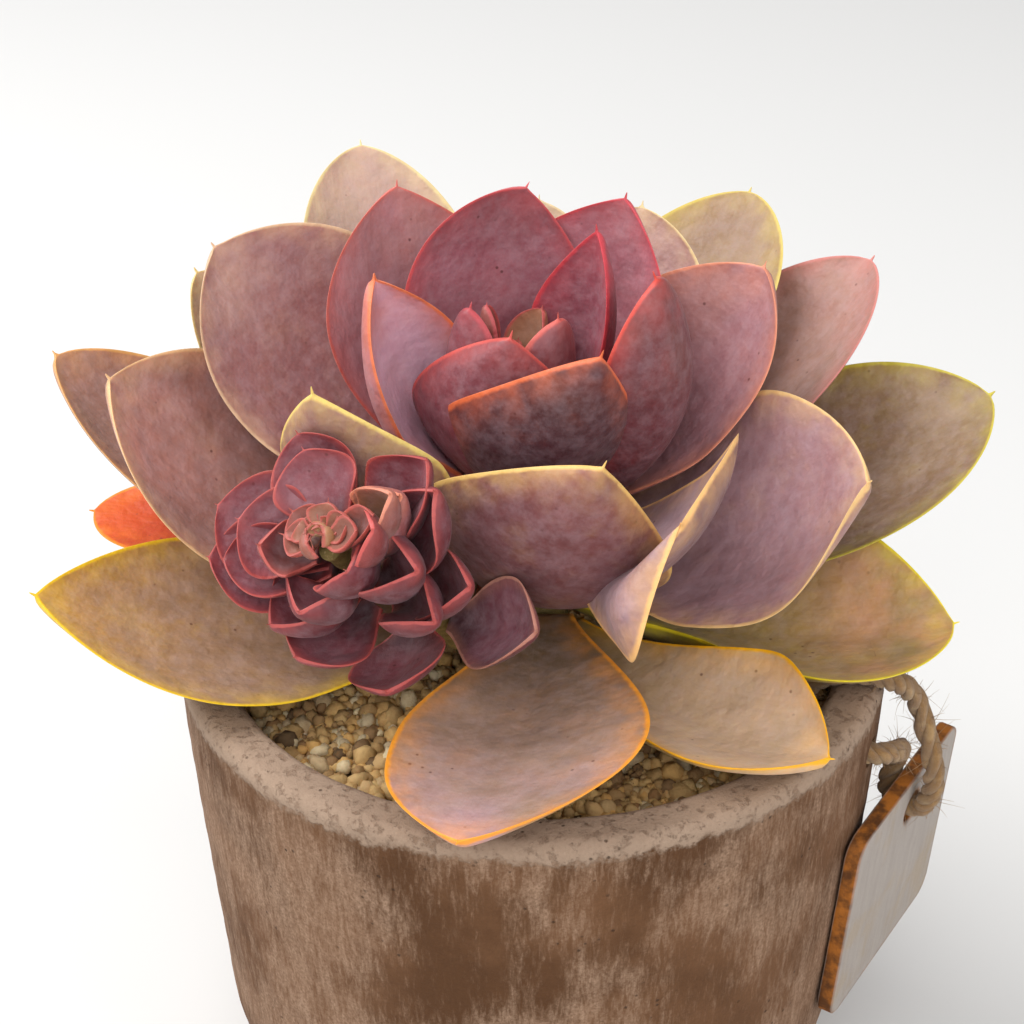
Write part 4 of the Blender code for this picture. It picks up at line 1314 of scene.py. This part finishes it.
class SUCCULENT_OT_hearts(SucculentStep):
    """The smallest leaves at the middle of each rosette."""

    bl_idname = "succulent.hearts"
    bl_label = "Hearts"

    def execute(self, context):
        sizes = self.sizes(context)
        slant = unit(OFFSET_CROWN - OFFSET_FOOT)
        for node, crown, axis, rows, radius, thickness, palette, slot in (
            (
                "rosette_heart", STEM_CROWN, UP, ROSETTE_HEART, 2.8, 2.0,
                "heart_leaf_left", "inner_leaf",
            ),
            (
                "offset_heart", OFFSET_CROWN, slant, OFFSET_HEART, 2.4, 1.5,
                "offset_leaf_front_left", "offset_leaf",
            ),
        ):
            points, faces, readings = heart_parts(crown, axis, rows, radius, thickness, sizes)
            tints = LEAF_COLOURS[palette].split()
            finish = leaf_finish(f"{node}_skin", sizes, *tints, tone=True, close=SMALL_CLOSE)
            stand_for(new_piece(f"{node}_leaves", points, faces, finish, readings), node)
        return {"FINISHED"}


class SUCCULENT_OT_tag(SucculentStep):
    """The small wooden tag with its hole."""

    bl_idname = "succulent.tag"
    bl_label = "Tag"

    def execute(self, context):
        grid, rims = tag_grid()
        rows, count = grid.shape[:2]
        faces = [band(rows, count, close=True)]
        finish = wood_finish(self.colours(context))
        tag = new_piece("wooden_tag", grid.reshape(-1, 3), faces, finish, {"rim": rims})
        stand_for(tag, "tag")
        return {"FINISHED"}


class SUCCULENT_OT_twine(SucculentStep):
    """The loop of jute and its loose fibres."""

    bl_idname = "succulent.twine"
    bl_label = "Twine"

    def execute(self, context):
        sizes = self.sizes(context)
        finish = jute_finish(self.colours(context))
        points, faces, readings = twine_parts(TWINE_RADIUS, 3, sizes.twine_twists)
        twine = new_piece("jute_twine", points, faces, finish, readings)
        stand_for(twine, "twine")
        longest = sizes.fuzz_length / MM
        points, faces, readings = fuzz_parts(TWINE_RADIUS, longest, sizes.fuzz_count, 31)
        fuzz = new_piece("jute_fibres", points, faces, finish, readings)
        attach(fuzz, "root")
        return {"FINISHED"}


class SUCCULENT_OT_stage(SucculentStep):
    """Pale table, soft light and the camera."""

    bl_idname = "succulent.stage"
    bl_label = "Stage"

    def execute(self, context):
        r = np.concatenate([[0.5], np.linspace(60, 4000, 40)])
        grid = turned(np.stack([r, np.full(len(r), -0.1)], -1), 96)
        points = np.concatenate([grid.reshape(-1, 3), grid[:1].mean(1)])
        rows, count = grid.shape[:2]
        faces = [band(rows, count), fan(rows * count, 0, count)]
        floor = new_piece("table", points, faces, floor_finish(self.colours(context)))
        floor.data.flip_normals()
        world = bpy.data.worlds.new("studio")
        world.use_nodes = True
        sky = world.node_tree.nodes["Background"]
        sky.inputs["Color"].default_value = (0.97, 0.98, 1.0, 1.0)
        sky.inputs["Strength"].default_value = 0.45
        context.scene.world = world
        aim = MOUTH + (0, 0, 20)
        for name, place, size, power in (
            ("window", (-440, 120, 620), 700, 7.4),
            ("fill", (520, -300, 420), 600, 2.0),
            ("front", (-120, -620, 420), 600, 3.0),
        ):
            lamp = bpy.data.lights.new(name, "AREA")
            lamp.shape = "SQUARE"
            lamp.size = size * MM
            lamp.energy = power
            light = bpy.data.objects.new(name, lamp)
            point_at(light, np.array(place, float) + MOUTH, aim)
            context.scene.collection.objects.link(light)
        lens = bpy.data.cameras.new("camera")
        lens.sensor_width = 36.0
        lens.lens = 93.7
        lens.clip_start = 0.01
        camera = bpy.data.objects.new("camera", lens)
        camera.location = (-2.8 * MM, -300.0 * MM, (POT_HEIGHT + 198.5) * MM)
        camera.rotation_euler = (np.radians(90 - 31), 0, 0)
        context.scene.collection.objects.link(camera)
        context.scene.camera = camera
        context.scene.view_settings.view_transform = "Standard"
        return {"FINISHED"}


def point_at(obj, place, aim):
    obj.location = Vector(place * MM)
    obj.rotation_euler = Vector(aim - place).to_track_quat("-Z", "Y").to_euler()


class SUCCULENT_PT_panel(bpy.types.Panel):
    """The steps, sizes and colours in the sidebar."""

    bl_label = "Potted succulent"
    bl_space_type = "VIEW_3D"
    bl_region_type = "UI"
    bl_category = "Succulent"

    def draw(self, context):
        for step in STEPS:
            self.layout.operator(step.bl_idname)
        for group in (context.scene.succulent_sizes, context.scene.succulent_colours):
            box = self.layout.box()
            for key in group.__annotations__:
                box.prop(group, key)


STEPS = (
    SUCCULENT_OT_stage,
    SUCCULENT_OT_pot,
    SUCCULENT_OT_filling,
    SUCCULENT_OT_stems,
    SUCCULENT_OT_rosette,
    SUCCULENT_OT_offset,
    SUCCULENT_OT_hearts,
    SUCCULENT_OT_tag,
    SUCCULENT_OT_twine,
)
GROUPS = (SucculentSizes, SucculentColours)


def register():
    for made in (*GROUPS, *STEPS, SUCCULENT_PT_panel):
        bpy.utils.register_class(made)
    bpy.types.Scene.succulent_sizes = PointerProperty(type=SucculentSizes)
    bpy.types.Scene.succulent_colours = PointerProperty(type=SucculentColours)


def unregister():
    del bpy.types.Scene.succulent_colours
    del bpy.types.Scene.succulent_sizes
    for made in reversed((*GROUPS, *STEPS, SUCCULENT_PT_panel)):
        bpy.utils.unregister_class(made)


def main():
    register()
    bpy.ops.succulent.stage()
    bpy.ops.succulent.pot()
    bpy.ops.succulent.filling()
    bpy.ops.succulent.stems()
    bpy.ops.succulent.rosette()
    bpy.ops.succulent.offset()
    bpy.ops.succulent.hearts()
    bpy.ops.succulent.tag()
    bpy.ops.succulent.twine()
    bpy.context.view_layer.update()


if __name__ == "__main__":
    main()
